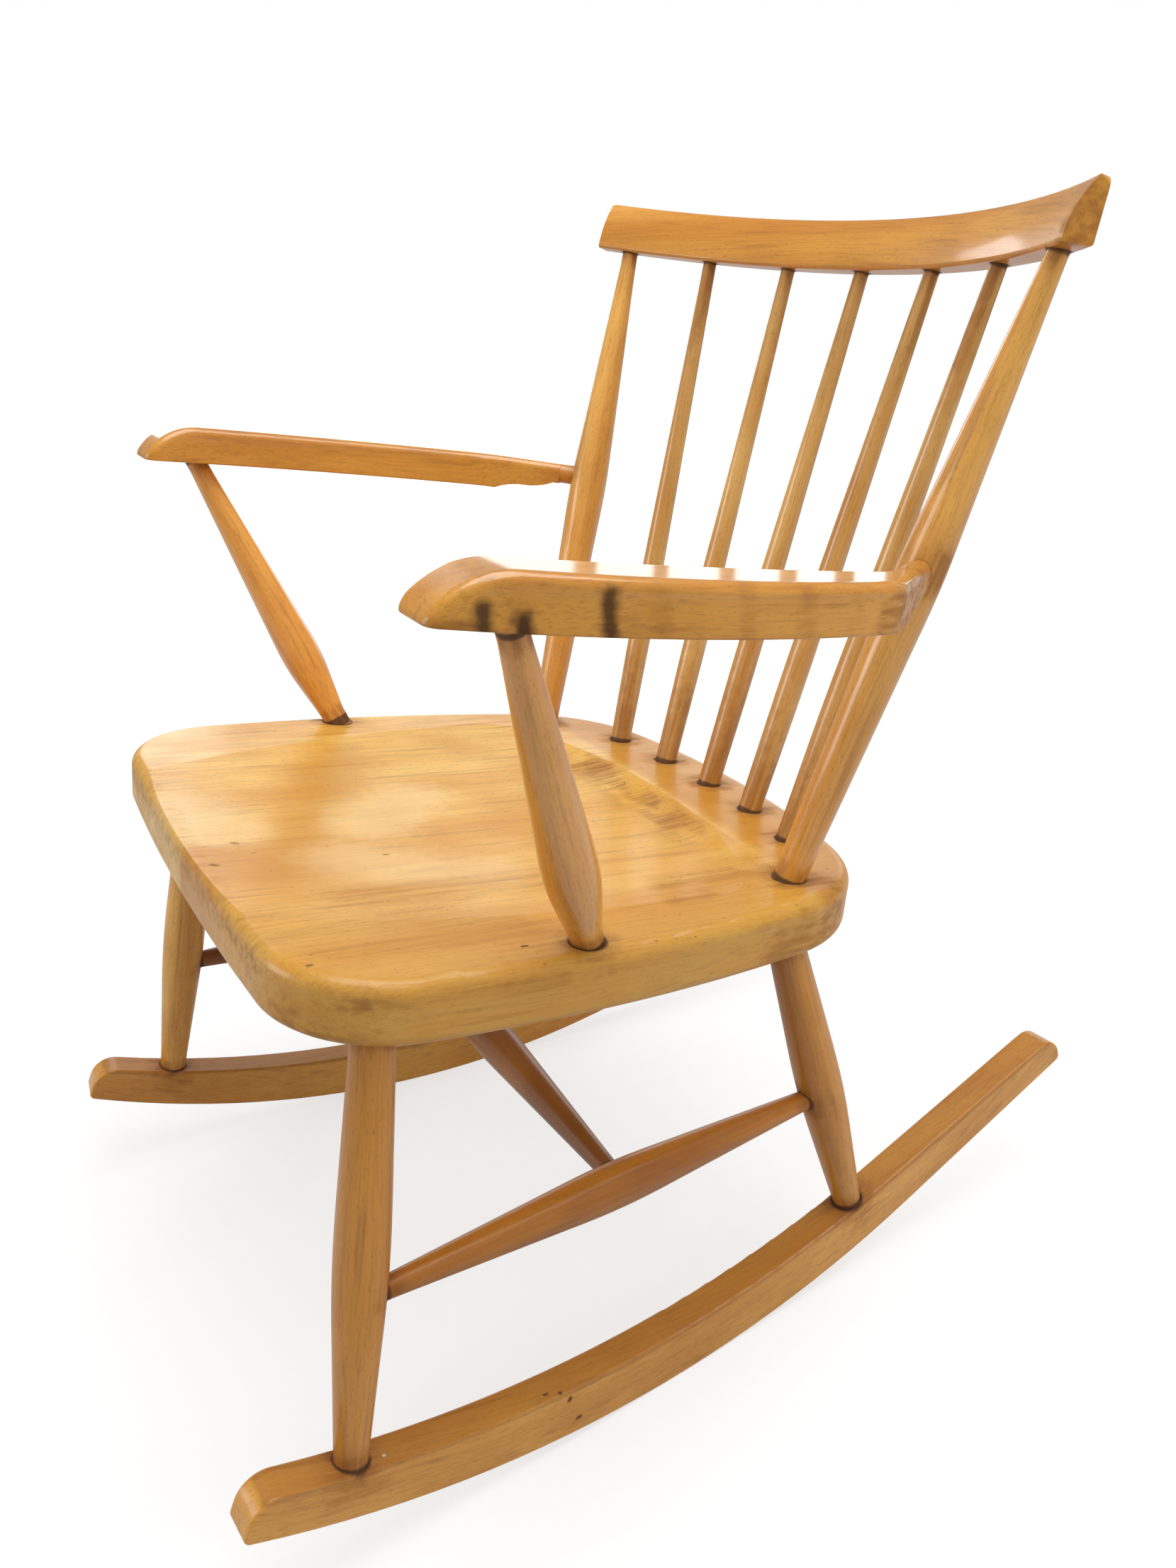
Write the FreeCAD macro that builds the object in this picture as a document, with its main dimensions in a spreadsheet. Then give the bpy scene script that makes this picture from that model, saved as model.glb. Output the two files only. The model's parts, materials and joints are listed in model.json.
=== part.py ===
import FreeCAD
import Part
import Sketcher
import math
import os

# Low-back spindle rocking chair with arms, in millimetres and degrees.
# +Z is up, the sitter faces -Y and the sitter's left is +X. The floor is Z = 0.
# The seat stands on four turned legs that are socketed into two toed-in rockers.
# Left-hand pieces are built and the right-hand ones are their mirror images.

Vector = FreeCAD.Vector

# Driving sizes. Each is set by itself, and every other size is worked out from these.
SIZES = {
    # rockers, measured along their own length from the chair's centre line
    "rocker_width": 26.0,
    "rocker_spread": 219.1,
    "rocker_toe_in": 0.1,
    "rocker_height": 41.4,
    "rocker_sweep_radius": 766.2,
    "rocker_top_flatness": 66.5,
    "rocker_low_y": -43.9,
    "rocker_top_low_y": -45.9,
    "rocker_front_y": -378.3,
    "rocker_straight_y": 188.3,
    "rocker_top_straight_y": 170.0,
    "rocker_end_y": 377.8,
    "rocker_toe_round": 20.0,
    "rocker_heel_round": 5.0,
    "rocker_edge_round": 2.0,
    # seat board, in its own slightly tilted plane
    "seat_height": 371.2,
    "seat_slope": 0.1565,
    "seat_thickness": 42.0,
    "seat_front_y": -301.0,
    "seat_rear_y": 176.8,
    "seat_front_width": 492.9,
    "seat_rear_width": 429.0,
    "seat_front_bulge": 10.5,
    "seat_side_bulge": 20.7,
    "seat_rear_bulge": 37.4,
    "seat_front_corner_round": 81.0,
    "seat_rear_corner_round": 115.0,
    "seat_top_round": 10.0,
    "seat_bottom_round": 9.0,
    # hollow worked into the seat's top
    "dish_depth": 7.0,
    "dish_width": 400.0,
    "dish_rear_y": 90.4,
    "dish_rear_radius": 2000.0,
    "dish_bank": 60.0,
    "dish_front_rise": 4.0,
    # turned legs
    "leg_foot_radius": 11.2,
    "leg_belly_radius": 17.5,
    "leg_top_radius": 13.6,
    "leg_belly_arc_share": 0.62,
    "leg_belly_share": 0.5,
    "leg_foot_tenon": 18.0,
    "leg_top_tenon": 15.0,
    "front_leg_foot_y": -299.9,
    "front_leg_top_x": 215.6,
    "front_leg_top_y": -239.4,
    "back_leg_foot_y": 131.3,
    "back_leg_top_x": 202.1,
    "back_leg_top_y": 68.4,
    # stretchers between the legs
    "stretcher_end_radius": 7.5,
    "stretcher_belly_arc_share": 0.35,
    "stretcher_belly_share": 0.5,
    "stretcher_tenon": 11.0,
    "side_stretcher_belly_radius": 15.6,
    "side_stretcher_front_share": 0.385,
    "side_stretcher_rear_share": 0.44,
    "cross_stretcher_belly_radius": 16.5,
    "cross_stretcher_place_share": 0.51,
    # arm supports
    "support_foot_radius": 10.7,
    "support_belly_radius": 17.1,
    "support_top_radius": 8.4,
    "support_belly_arc_share": 0.68,
    "support_belly_share": 0.28,
    "support_foot_x": 234.0,
    "support_foot_y": -105.5,
    "support_top_x": 312.0,
    "support_top_y": -177.5,
    "support_foot_tenon": 20.0,
    "support_top_tenon": 14.0,
    # back posts and spindles
    "post_foot_radius": 11.5,
    "post_belly_radius": 16.4,
    "post_top_radius": 6.8,
    "post_belly_arc_share": 0.295,
    "post_belly_share": 0.5,
    "post_foot_x": 190.0,
    "post_foot_y": 80.4,
    "post_top_x": 251.5,
    "post_foot_tenon": 16.0,
    "spindle_foot_radius": 9.1,
    "spindle_belly_radius": 10.0,
    "spindle_top_radius": 5.6,
    "spindle_belly_arc_share": 0.53,
    "spindle_belly_share": 0.25,
    "spindle_foot_spacing": 63.6,
    "spindle_top_spacing": 85.6,
    "spindle_row_y": 139.0,
    "spindle_row_radius": 640.0,
    "spindle_foot_tenon": 20.0,
    "crest_tenon": 18.0,
    # crest rail, bent to an arc in a plane that tips forward
    "crest_y": 285.7,
    "crest_z": 746.1,
    "crest_lean": 16.39,
    "crest_radius": 538.0,
    "crest_half_angle": 31.0,
    "crest_height": 40.0,
    "crest_foot_thickness": 19.0,
    "crest_top_thickness": 6.0,
    "crest_front_bulge": 3.4,
    "crest_foot_round": 2.5,
    "crest_top_round": 2.4,
    "crest_corner_round": 8.0,
    # arms, measured from the joint with the back post
    "arm_joint_share": 0.532,
    "arm_slope": 11.09,
    "arm_thickness": 29.0,
    "arm_front_y": -385.0,
    "arm_front_inner_x": 56.6,
    "arm_front_width": 42.0,
    "arm_inner_corner": 95.0,
    "arm_outer_corner": 139.0,
    "arm_inner_bulge": 11.5,
    "arm_outer_bulge": 18.0,
    "arm_neck_angle": 40.0,
    "arm_neck_radius": 8.5,
    "arm_neck_end": 27.0,
    "arm_tenon_depth": 12.0,
    "arm_inner_corner_round": 60.0,
    "arm_outer_corner_round": 40.0,
    "arm_front_corner_round": 9.0,
    "arm_nose_length": 43.0,
    "arm_nose_edge": 3.0,
    "arm_scoop_start_y": -72.0,
    "arm_scoop_end_y": -30.0,
    "arm_top_round": 6.5,
    "arm_bottom_round": 1.5,
    # fits and cutting allowances
    "glue_gap": 0.1,
    "tenon_lead": 3.0,
    "overrun": 20.0,
}
SPINDLES_EACH_SIDE = 2
DISH_POINTS = 11
FULL_TURN = 360.0
SAME_POINT = 1e-6


doc = FreeCAD.newDocument("rocking_chair")
sheet = doc.addObject("Spreadsheet::Sheet", "sizes")
size = {}
row = 0


def keep_size(name, value):
    """Writes one size to the sheet under its name and keeps it for the sums here."""
    global row
    row += 1
    sheet.set(f"A{row}", name)
    sheet.set(f"B{row}", repr(float(value)))
    sheet.setAlias(f"B{row}", name)
    size[name] = float(value)
    return name


def bind(thing, prop, expression):
    thing.setExpression(prop, expression)


for size_name, size_value in SIZES.items():
    keep_size(size_name, size_value)
keep_size("rocker_top_radius", size["rocker_sweep_radius"] + size["rocker_top_flatness"])
doc.recompute()


# Places of the joints


def arc_radius(half_chord, bulge):
    """Radius of the arc that stands bulge proud of a chord."""
    return (half_chord ** 2 + bulge ** 2) / (2 * bulge)


def seat_top(x, y, depth=0.0):
    """The point of the seat's top plane over the place x, y, or depth below that plane."""
    tilt = math.hypot(1.0, size["seat_slope"])
    return Vector(x, y, size["seat_height"] - size["seat_slope"] * y - depth * tilt)


def seat_foot(x, y):
    return seat_top(x, y, size["seat_thickness"])


def rocker_point(y):
    """The point on the middle of the left rocker's top at the place y."""
    toe = math.hypot(1.0, size["rocker_toe_in"])
    run = y * toe - size["rocker_top_low_y"]
    rise = size["rocker_top_radius"] - math.sqrt(size["rocker_top_radius"] ** 2 - run ** 2)
    x = size["rocker_spread"] - size["rocker_toe_in"] * y
    return Vector(x, y, size["rocker_height"] + rise)


def crest_point(x):
    """The point in the middle of the crest's underside that lies x to the left."""
    lean = math.radians(size["crest_lean"])
    drop = size["crest_radius"] - math.sqrt(size["crest_radius"] ** 2 - x ** 2)
    y = size["crest_y"] - drop * math.cos(lean)
    return Vector(x, y, size["crest_z"] + drop * math.sin(lean))


def between(start, end, share):
    return start + (end - start) * share


def toward(start, end):
    direction = end - start
    direction.normalize()
    return direction


def aim(start, direction):
    """The placement at start whose Z axis runs along direction."""
    return FreeCAD.Placement(start, FreeCAD.Rotation(Vector(0, 0, 1), direction))


front_leg_foot = rocker_point(size["front_leg_foot_y"])
front_leg_top = seat_foot(size["front_leg_top_x"], size["front_leg_top_y"])
back_leg_foot = rocker_point(size["back_leg_foot_y"])
back_leg_top = seat_foot(size["back_leg_top_x"], size["back_leg_top_y"])
side_front = between(front_leg_foot, front_leg_top, size["side_stretcher_front_share"])
side_rear = between(back_leg_foot, back_leg_top, size["side_stretcher_rear_share"])
cross_left = between(side_front, side_rear, size["cross_stretcher_place_share"])
cross_right = Vector(-cross_left.x, cross_left.y, cross_left.z)
post_foot = seat_top(size["post_foot_x"], size["post_foot_y"])
post_top = crest_point(size["post_top_x"])
arm_joint = between(post_foot, post_top, size["arm_joint_share"])
arm_turn = FreeCAD.Rotation(Vector(1, 0, 0), -size["arm_slope"])
arm_up = arm_turn.multVec(Vector(0, 0, 1))
arm_origin = arm_joint + arm_up * size["arm_neck_radius"]
arm_foot_level = arm_origin - arm_up * size["arm_thickness"]


def arm_underside(x, y):
    """The point of the arm's flat underside over the place x, y."""
    z = arm_foot_level.z - (y - arm_foot_level.y) * arm_up.y / arm_up.z
    return Vector(x, y, z)


support_foot = seat_top(size["support_foot_x"], size["support_foot_y"])
support_top = arm_underside(size["support_top_x"], size["support_top_y"])
seat_turn = FreeCAD.Rotation(Vector(1, 0, 0), -math.degrees(math.atan(size["seat_slope"])))
seat_place = FreeCAD.Placement(Vector(0, 0, size["seat_height"]), seat_turn)
crest_turn = FreeCAD.Rotation(Vector(1, 0, 0), -size["crest_lean"])
crest_place = FreeCAD.Placement(Vector(0, size["crest_y"], size["crest_z"]), crest_turn)
arm_place = FreeCAD.Placement(arm_origin, arm_turn)
seat_up = seat_turn.multVec(Vector(0, 0, 1))
crest_up = crest_turn.multVec(Vector(0, 0, 1))


def rocker_face(y):
    """The direction square to the rocker's top at the place y."""
    toe = math.hypot(1.0, size["rocker_toe_in"])
    run = y * toe - size["rocker_top_low_y"]
    rise = math.sqrt(size["rocker_top_radius"] ** 2 - run ** 2)
    face = Vector(run * size["rocker_toe_in"] / toe, -run / toe, rise)
    face.normalize()
    return face


front_foot_face = rocker_face(size["front_leg_foot_y"])
back_foot_face = rocker_face(size["back_leg_foot_y"])


def spindle_ends(number):
    """The foot and top of the spindle that is number places from the middle one."""
    x = number * size["spindle_foot_spacing"]
    drop = size["spindle_row_radius"] - math.sqrt(size["spindle_row_radius"] ** 2 - x ** 2)
    foot = seat_top(x, size["spindle_row_y"] - drop)
    return (foot, crest_point(number * size["spindle_top_spacing"]))


# Tools for the features


def origin_plane(body, role):
    return [feature for feature in body.Origin.OriginFeatures if feature.Role == role][0]


def sketch_on(body, role, name):
    sketch = body.newObject("Sketcher::SketchObject", name)
    sketch.AttachmentSupport = (origin_plane(body, role), "")
    sketch.MapMode = "FlatFace"
    return sketch


def new_body(label, place):
    body = doc.addObject("PartDesign::Body", label)
    body.Label = label
    body.Placement = place
    return body


def dimension(sketch, kind, *where_and_value, expression):
    """Adds a dimension to a sketch and ties it to the sheet."""
    index = sketch.addConstraint(Sketcher.Constraint(kind, *where_and_value))
    bind(sketch, f"Constraints[{index}]", expression)


def place_point(sketch, item, end, x, y, x_text, y_text):
    """Fixes one end of a line or arc at x, y from the sketch's origin."""
    for kind, value, text, axis in (("DistanceX", x, x_text, -2), ("DistanceY", y, y_text, -1)):
        if value == 0:
            sketch.addConstraint(Sketcher.Constraint("PointOnObject", item, end, axis))
        elif value > 0:
            dimension(sketch, kind, -1, 1, item, end, value, expression=text)
        else:
            dimension(sketch, kind, item, end, -1, 1, -value, expression=f"-({text})")


def line(sketch, start, end):
    return sketch.addGeometry(Part.LineSegment(Vector(*start, 0), Vector(*end, 0)), False)


def draw_outline(sketch, label, corners, radii=None):
    """A closed outline through corners. The side that leaves a corner numbered in radii is an
    arc of that radius, which stands out to the right of its chord where the radius is positive."""
    radii = radii or {}
    sides = []
    for number, corner in enumerate(corners):
        following = corners[(number + 1) % len(corners)]
        if number in radii:
            radius = radii[number]
            half = math.dist(corner, following) / 2
            bulge = radius - math.copysign(math.sqrt(radius ** 2 - half ** 2), radius)
            dx = (following[0] - corner[0]) / (2 * half)
            dy = (following[1] - corner[1]) / (2 * half)
            middle_x = (corner[0] + following[0]) / 2 + bulge * dy
            middle_y = (corner[1] + following[1]) / 2 - bulge * dx
            points = [Vector(*corner, 0), Vector(middle_x, middle_y, 0), Vector(*following, 0)]
            sides.append(sketch.addGeometry(Part.Arc(*points), False))
        else:
            sides.append(line(sketch, corner, following))
    ends = []
    for number, side in enumerate(sides):
        first = sketch.getPoint(side, 1)
        starts_here = math.dist((first.x, first.y), corners[number]) < SAME_POINT
        ends.append((1, 2) if starts_here else (2, 1))
    for number, side in enumerate(sides):
        following = (number + 1) % len(sides)
        here = ends[number][1]
        there = ends[following][0]
        sketch.addConstraint(Sketcher.Constraint("Coincident", side, here, sides[following], there))
        texts = []
        for axis_name, value in zip(("across", "up"), corners[number]):
            name = keep_size(f"{label}_corner_{number + 1}_{axis_name}", value)
            texts.append(f"sizes.{name}")
        place_point(sketch, side, ends[number][0], *corners[number], *texts)
        if number in radii:
            name = keep_size(f"{label}_arc_{number + 1}_radius", abs(radii[number]))
            dimension(sketch, "Radius", side, size[name], expression=f"sizes.{name}")
    return sides


def edges_where(shape, test):
    """Names of the edges that pass the test, for a fillet."""
    return [f"Edge{number + 1}" for number, edge in enumerate(shape.Edges) if test(edge)]


def fillet(body, base, name, radius, test):
    doc.recompute()
    names = edges_where(base.Shape, test)
    if not names:
        raise RuntimeError(f"{name} found no edge to round")
    feature = body.newObject("PartDesign::Fillet", name)
    feature.Base = (base, names)
    feature.Radius = size[radius]
    bind(feature, "Radius", f"sizes.{radius}")
    return feature


def pad(body, sketch, length, midplane=False, downward=False):
    feature = body.newObject("PartDesign::Pad", "Pad")
    feature.Profile = sketch
    feature.Length = size[length]
    bind(feature, "Length", f"sizes.{length}")
    feature.Midplane = midplane
    feature.Reversed = downward
    return feature


def socket(label, mouth, direction, radius, depth):
    """A drill for one blind hole: it starts outside the mouth and runs in along direction."""
    drill = doc.addObject("Part::Cylinder", label)
    drill.Label = label
    bind(drill, "Radius", f"sizes.{radius} + sizes.glue_gap")
    bind(drill, "Height", f"sizes.{depth} + sizes.glue_gap + sizes.overrun")
    drill.Placement = aim(mouth - direction * size["overrun"], direction)
    return drill


def drilled(label, blank, drills):
    """The finished piece: its blank less the drills of its sockets."""
    tools = doc.addObject("Part::Compound", f"{label}_drills")
    tools.Links = drills
    piece = doc.addObject("Part::Cut", label)
    piece.Base = blank
    piece.Tool = tools
    piece.Label = label
    return piece


def mirrored(label, source):
    """The right-hand twin of a left-hand piece."""
    twin = doc.addObject("Part::Mirroring", label)
    twin.Source = source
    twin.Base = Vector(0, 0, 0)
    twin.Normal = Vector(1, 0, 0)
    twin.Label = label
    return twin


def arc_radius_tangent(run, drop):
    """Radius of the arc that leaves a level line and falls by drop over run."""
    return (run ** 2 + drop ** 2) / (2 * drop)


def tangent_share(run, drop, radius):
    """Where the straight taper meets the belly arc: the angle of the arc on that side."""
    reach = math.hypot(run, radius - drop)
    return math.atan2(run, radius - drop) - math.acos(radius / reach)


def slant_lead(axis, face, radius):
    """How far a plain round end runs out of a face that its axis meets at a slant."""
    lean = math.tan(axis.getAngle(face))
    return size["tenon_lead"] + radius * abs(lean)


def turned(label, ends, faces, sizes):
    """A turned piece: straight tapers that run tangent into a round belly, with a plain
    round tenon at each end. ends are the places where it meets its neighbours, and faces
    are the upright directions of the surfaces that it enters there."""
    foot, belly, top, arc_share, share, foot_tenon, top_tenon = sizes
    start, end = ends
    axis_way = toward(start, end)
    length = keep_size(f"{label}_length", (end - start).Length)
    full = size[length]
    r_foot = size[foot]
    r_top = size[top]
    r_belly = size[belly]
    foot_lead = keep_size(f"{label}_foot_lead", slant_lead(axis_way, faces[0], r_foot))
    top_lead = keep_size(f"{label}_top_lead", slant_lead(axis_way, faces[1], r_top))
    rise = size[foot_lead]
    fall = full - size[top_lead]
    middle = full * size[share]
    roundest = min(
        arc_radius_tangent(middle - rise, r_belly - r_foot),
        arc_radius_tangent(fall - middle, r_belly - r_top),
    )
    arc = keep_size(f"{label}_belly_arc", size[arc_share] * roundest)
    bend = size[arc]
    low = tangent_share(middle - rise, r_belly - r_foot, bend)
    high = tangent_share(fall - middle, r_belly - r_top, bend)
    centre = Vector(r_belly - bend, middle, 0)
    low_end = -size[foot_tenon]
    high_end = full + size[top_tenon]
    tangents = []
    for turn in (-low, high):
        tangents.append((centre.x + bend * math.cos(turn), centre.y + bend * math.sin(turn)))

    body = new_body(label, aim(start, axis_way))
    sketch = sketch_on(body, "XZ_Plane", "profile")
    base = line(sketch, (0, low_end), (r_foot, low_end))
    tenon = line(sketch, (r_foot, low_end), (r_foot, rise))
    taper = line(sketch, (r_foot, rise), tangents[0])
    belly_circle = Part.Circle(centre, Vector(0, 0, 1), bend)
    round_belly = sketch.addGeometry(Part.ArcOfCircle(belly_circle, -low, high), False)
    upper = line(sketch, tangents[1], (r_top, fall))
    upper_tenon = line(sketch, (r_top, fall), (r_top, high_end))
    cap = line(sketch, (r_top, high_end), (0, high_end))
    axis = line(sketch, (0, high_end), (0, low_end))
    lower_joints = [(axis, base), (base, tenon), (tenon, taper)]
    upper_joints = [(upper, upper_tenon), (upper_tenon, cap), (cap, axis)]
    for first, second in lower_joints + upper_joints:
        sketch.addConstraint(Sketcher.Constraint("Coincident", first, 2, second, 1))
    sketch.addConstraint(Sketcher.Constraint("Tangent", taper, 2, round_belly, 1))
    sketch.addConstraint(Sketcher.Constraint("Tangent", round_belly, 2, upper, 1))
    for flat in (base, cap):
        sketch.addConstraint(Sketcher.Constraint("Horizontal", flat))
    for upright in (tenon, upper_tenon, axis):
        sketch.addConstraint(Sketcher.Constraint("Vertical", upright))
    sketch.addConstraint(Sketcher.Constraint("PointOnObject", axis, 1, -2))
    place_point(sketch, tenon, 2, r_foot, rise, f"sizes.{foot}", f"sizes.{foot_lead}")
    dimension(sketch, "DistanceY", base, 1, -1, 1, -low_end, expression=f"sizes.{foot_tenon}")
    place_point(sketch, upper, 2, r_top, fall, f"sizes.{top}", f"sizes.{length} - sizes.{top_lead}")
    high_text = f"sizes.{length} + sizes.{top_tenon}"
    dimension(sketch, "DistanceY", -1, 1, axis, 1, high_end, expression=high_text)
    place_point(
        sketch, round_belly, 3, centre.x, centre.y,
        f"sizes.{belly} - sizes.{arc}", f"sizes.{length} * sizes.{share}",
    )
    dimension(sketch, "Radius", round_belly, bend, expression=f"sizes.{arc}")
    turning = body.newObject("PartDesign::Revolution", "Turning")
    turning.Profile = sketch
    turning.ReferenceAxis = (sketch, ["V_Axis"])
    turning.Angle = FULL_TURN
    return body


# Rockers


def nose_top(corner, slope, centre, radius):
    """Where the square cut that rises from the toe's lower corner meets the top's circle."""
    start = Vector(*corner, 0)
    way = Vector(slope, 1, 0)
    way.normalize()
    to_centre = Vector(*centre, 0) - start
    along = to_centre.dot(way)
    aside = (to_centre - way * along).Length
    top = start + way * (along - math.sqrt(radius ** 2 - aside ** 2))
    return (top.x, top.y)


def rocker_blank():
    """The rocker: arcs above and below that run out straight behind, and square-cut ends."""
    turn = FreeCAD.Rotation(Vector(0, 0, 1), math.degrees(math.atan(size["rocker_toe_in"])))
    body = new_body("rocker_blank", FreeCAD.Placement(Vector(size["rocker_spread"], 0, 0), turn))
    sweep = size["rocker_sweep_radius"]
    crown = size["rocker_top_radius"]
    low_y = size["rocker_low_y"]
    top_low_y = size["rocker_top_low_y"]

    def under(y):
        return sweep - math.sqrt(sweep ** 2 - (y - low_y) ** 2)

    def over(y):
        return size["rocker_height"] + crown - math.sqrt(crown ** 2 - (y - top_low_y) ** 2)

    front = size["rocker_front_y"]
    back = size["rocker_straight_y"]
    top_back = size["rocker_top_straight_y"]
    slope = (back - low_y) / (sweep - under(back))
    top_slope = (top_back - top_low_y) / math.sqrt(crown ** 2 - (top_back - top_low_y) ** 2)
    end_y = size["rocker_end_y"]
    end_z = under(back) + slope * (end_y - back)
    top_rise = (over(top_back) + top_slope * (end_y - top_back) - end_z) / (1 + slope * top_slope)
    front_slope = (low_y - front) / (sweep - under(front))
    toe = (front, under(front))
    top_centre = (top_low_y, size["rocker_height"] + crown)
    nose = nose_top(toe, front_slope, top_centre, crown)
    corners = [
        toe,
        (back, under(back)),
        (end_y, end_z),
        (end_y - slope * top_rise, end_z + top_rise),
        (top_back, over(top_back)),
        nose,
    ]
    sketch = sketch_on(body, "YZ_Plane", "outline")
    draw_outline(sketch, "rocker", corners, {0: sweep, 4: -crown})
    board = pad(body, sketch, "rocker_width", midplane=True)
    half = size["rocker_width"] / 2

    def crossing(places):
        def test(edge):
            ends = [vertex.Point for vertex in edge.Vertexes]
            if len(ends) != 2 or abs(abs(ends[0].x - ends[1].x) - 2 * half) > SAME_POINT:
                return False
            return any(math.dist((ends[0].y, ends[0].z), place) < SAME_POINT for place in places)
        return test

    toes = fillet(body, board, "Toes", "rocker_toe_round", crossing((corners[3], corners[5])))
    heels = fillet(body, toes, "Heels", "rocker_heel_round", crossing((corners[0], corners[2])))

    def along_side(edge):
        return all(abs(abs(vertex.X) - half) < SAME_POINT for vertex in edge.Vertexes)

    fillet(body, heels, "SoftEdges", "rocker_edge_round", along_side)
    return body


# Turned pieces


LEG = (
    "leg_foot_radius", "leg_belly_radius", "leg_top_radius",
    "leg_belly_arc_share", "leg_belly_share", "leg_foot_tenon", "leg_top_tenon",
)
SIDE_STRETCHER = (
    "stretcher_end_radius", "side_stretcher_belly_radius", "stretcher_end_radius",
    "stretcher_belly_arc_share", "stretcher_belly_share", "stretcher_tenon", "stretcher_tenon",
)
CROSS_STRETCHER = (
    "stretcher_end_radius", "cross_stretcher_belly_radius", "stretcher_end_radius",
    "stretcher_belly_arc_share", "stretcher_belly_share", "stretcher_tenon", "stretcher_tenon",
)
SUPPORT = (
    "support_foot_radius", "support_belly_radius", "support_top_radius",
    "support_belly_arc_share", "support_belly_share", "support_foot_tenon", "support_top_tenon",
)
POST = (
    "post_foot_radius", "post_belly_radius", "post_top_radius",
    "post_belly_arc_share", "post_belly_share", "post_foot_tenon", "crest_tenon",
)
SPINDLE = (
    "spindle_foot_radius", "spindle_belly_radius", "spindle_top_radius",
    "spindle_belly_arc_share", "spindle_belly_share", "spindle_foot_tenon", "crest_tenon",
)

front_leg_ends = (front_leg_foot, front_leg_top)
back_leg_ends = (back_leg_foot, back_leg_top)
support_ends = (support_foot, support_top)
post_ends = (post_foot, post_top)
front_leg_blank = turned("front_leg_blank", front_leg_ends, (front_foot_face, seat_up), LEG)
back_leg_blank = turned("back_leg_blank", back_leg_ends, (back_foot_face, seat_up), LEG)


def leg_radius(share):
    """The leg's radius at a share of its length, taken along its straight tapers."""
    if share < size["leg_belly_share"]:
        run = share / size["leg_belly_share"]
        return size["leg_foot_radius"] + run * (size["leg_belly_radius"] - size["leg_foot_radius"])
    run = (1 - share) / (1 - size["leg_belly_share"])
    return size["leg_top_radius"] + run * (size["leg_belly_radius"] - size["leg_top_radius"])


side_axis = toward(side_front, side_rear)
side_start = side_front + side_axis * leg_radius(size["side_stretcher_front_share"])
side_end = side_rear - side_axis * leg_radius(size["side_stretcher_rear_share"])
side_ends = (side_start, side_end)
side_stretcher_blank = turned("side_stretcher_blank", side_ends, (side_axis, side_axis), SIDE_STRETCHER)
cross_axis = Vector(1, 0, 0)
cross_end = cross_left - cross_axis * size["side_stretcher_belly_radius"]
cross_start = cross_right + cross_axis * size["side_stretcher_belly_radius"]
cross_ends = (cross_start, cross_end)
cross_stretcher = turned("cross_stretcher", cross_ends, (cross_axis, cross_axis), CROSS_STRETCHER)
support = turned("arm_support_left", support_ends, (seat_up, arm_up), SUPPORT)
post_blank = turned("back_post_blank", post_ends, (seat_up, crest_up), POST)
spindles = []
for number in range(SPINDLES_EACH_SIDE + 1):
    name = f"spindle_left_{number}" if number else "spindle_centre"
    spindles.append(turned(name, spindle_ends(number), (seat_up, crest_up), SPINDLE))


# Seat board


def seat_blank():
    """The seat: a board of four shallow curves with round corners and softened edges."""
    body = new_body("seat_blank", seat_place)
    front = size["seat_front_width"] / 2
    rear = size["seat_rear_width"] / 2
    low = size["seat_front_y"] + size["seat_front_bulge"]
    high = size["seat_rear_y"] - size["seat_rear_bulge"]
    corners = [(-front, low), (front, low), (rear, high), (-rear, high)]
    side = math.dist(corners[1], corners[2]) / 2
    side_radius = arc_radius(side, size["seat_side_bulge"])
    radii = {
        0: arc_radius(front, size["seat_front_bulge"]),
        1: side_radius,
        2: arc_radius(rear, size["seat_rear_bulge"]),
        3: side_radius,
    }
    sketch = sketch_on(body, "XY_Plane", "outline")
    draw_outline(sketch, "seat", corners, radii)
    board = pad(body, sketch, "seat_thickness", downward=True)
    thickness = size["seat_thickness"]

    def upright(places):
        def test(edge):
            ends = [vertex.Point for vertex in edge.Vertexes]
            if len(ends) != 2 or abs(abs(ends[0].z - ends[1].z) - thickness) > SAME_POINT:
                return False
            return any(math.dist((ends[0].x, ends[0].y), place) < SAME_POINT for place in places)
        return test

    def level(height):
        def test(edge):
            return all(abs(vertex.Z - height) < SAME_POINT for vertex in edge.Vertexes)
        return test

    fronts = fillet(body, board, "FrontCorners", "seat_front_corner_round", upright(corners[:2]))
    rears = fillet(body, fronts, "RearCorners", "seat_rear_corner_round", upright(corners[2:]))
    tops = fillet(body, rears, "TopEdge", "seat_top_round", level(0))
    fillet(body, tops, "BottomEdge", "seat_bottom_round", level(-thickness))
    return body


def dish_height(x, y):
    """Height of the hollow's surface over the seat's flat top, at x, y in the seat's plane."""
    depth = size["dish_depth"]
    inward = size["dish_rear_y"] - x ** 2 / (2 * size["dish_rear_radius"]) - y
    height = -depth + depth * (2 * x / size["dish_width"]) ** 2
    if inward < size["dish_bank"]:
        height += depth * (1 - inward / size["dish_bank"]) ** 2
    else:
        run = size["dish_rear_y"] - size["seat_front_y"] - size["dish_bank"]
        height += size["dish_front_rise"] * ((inward - size["dish_bank"]) / run) ** 2
    return height


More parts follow.
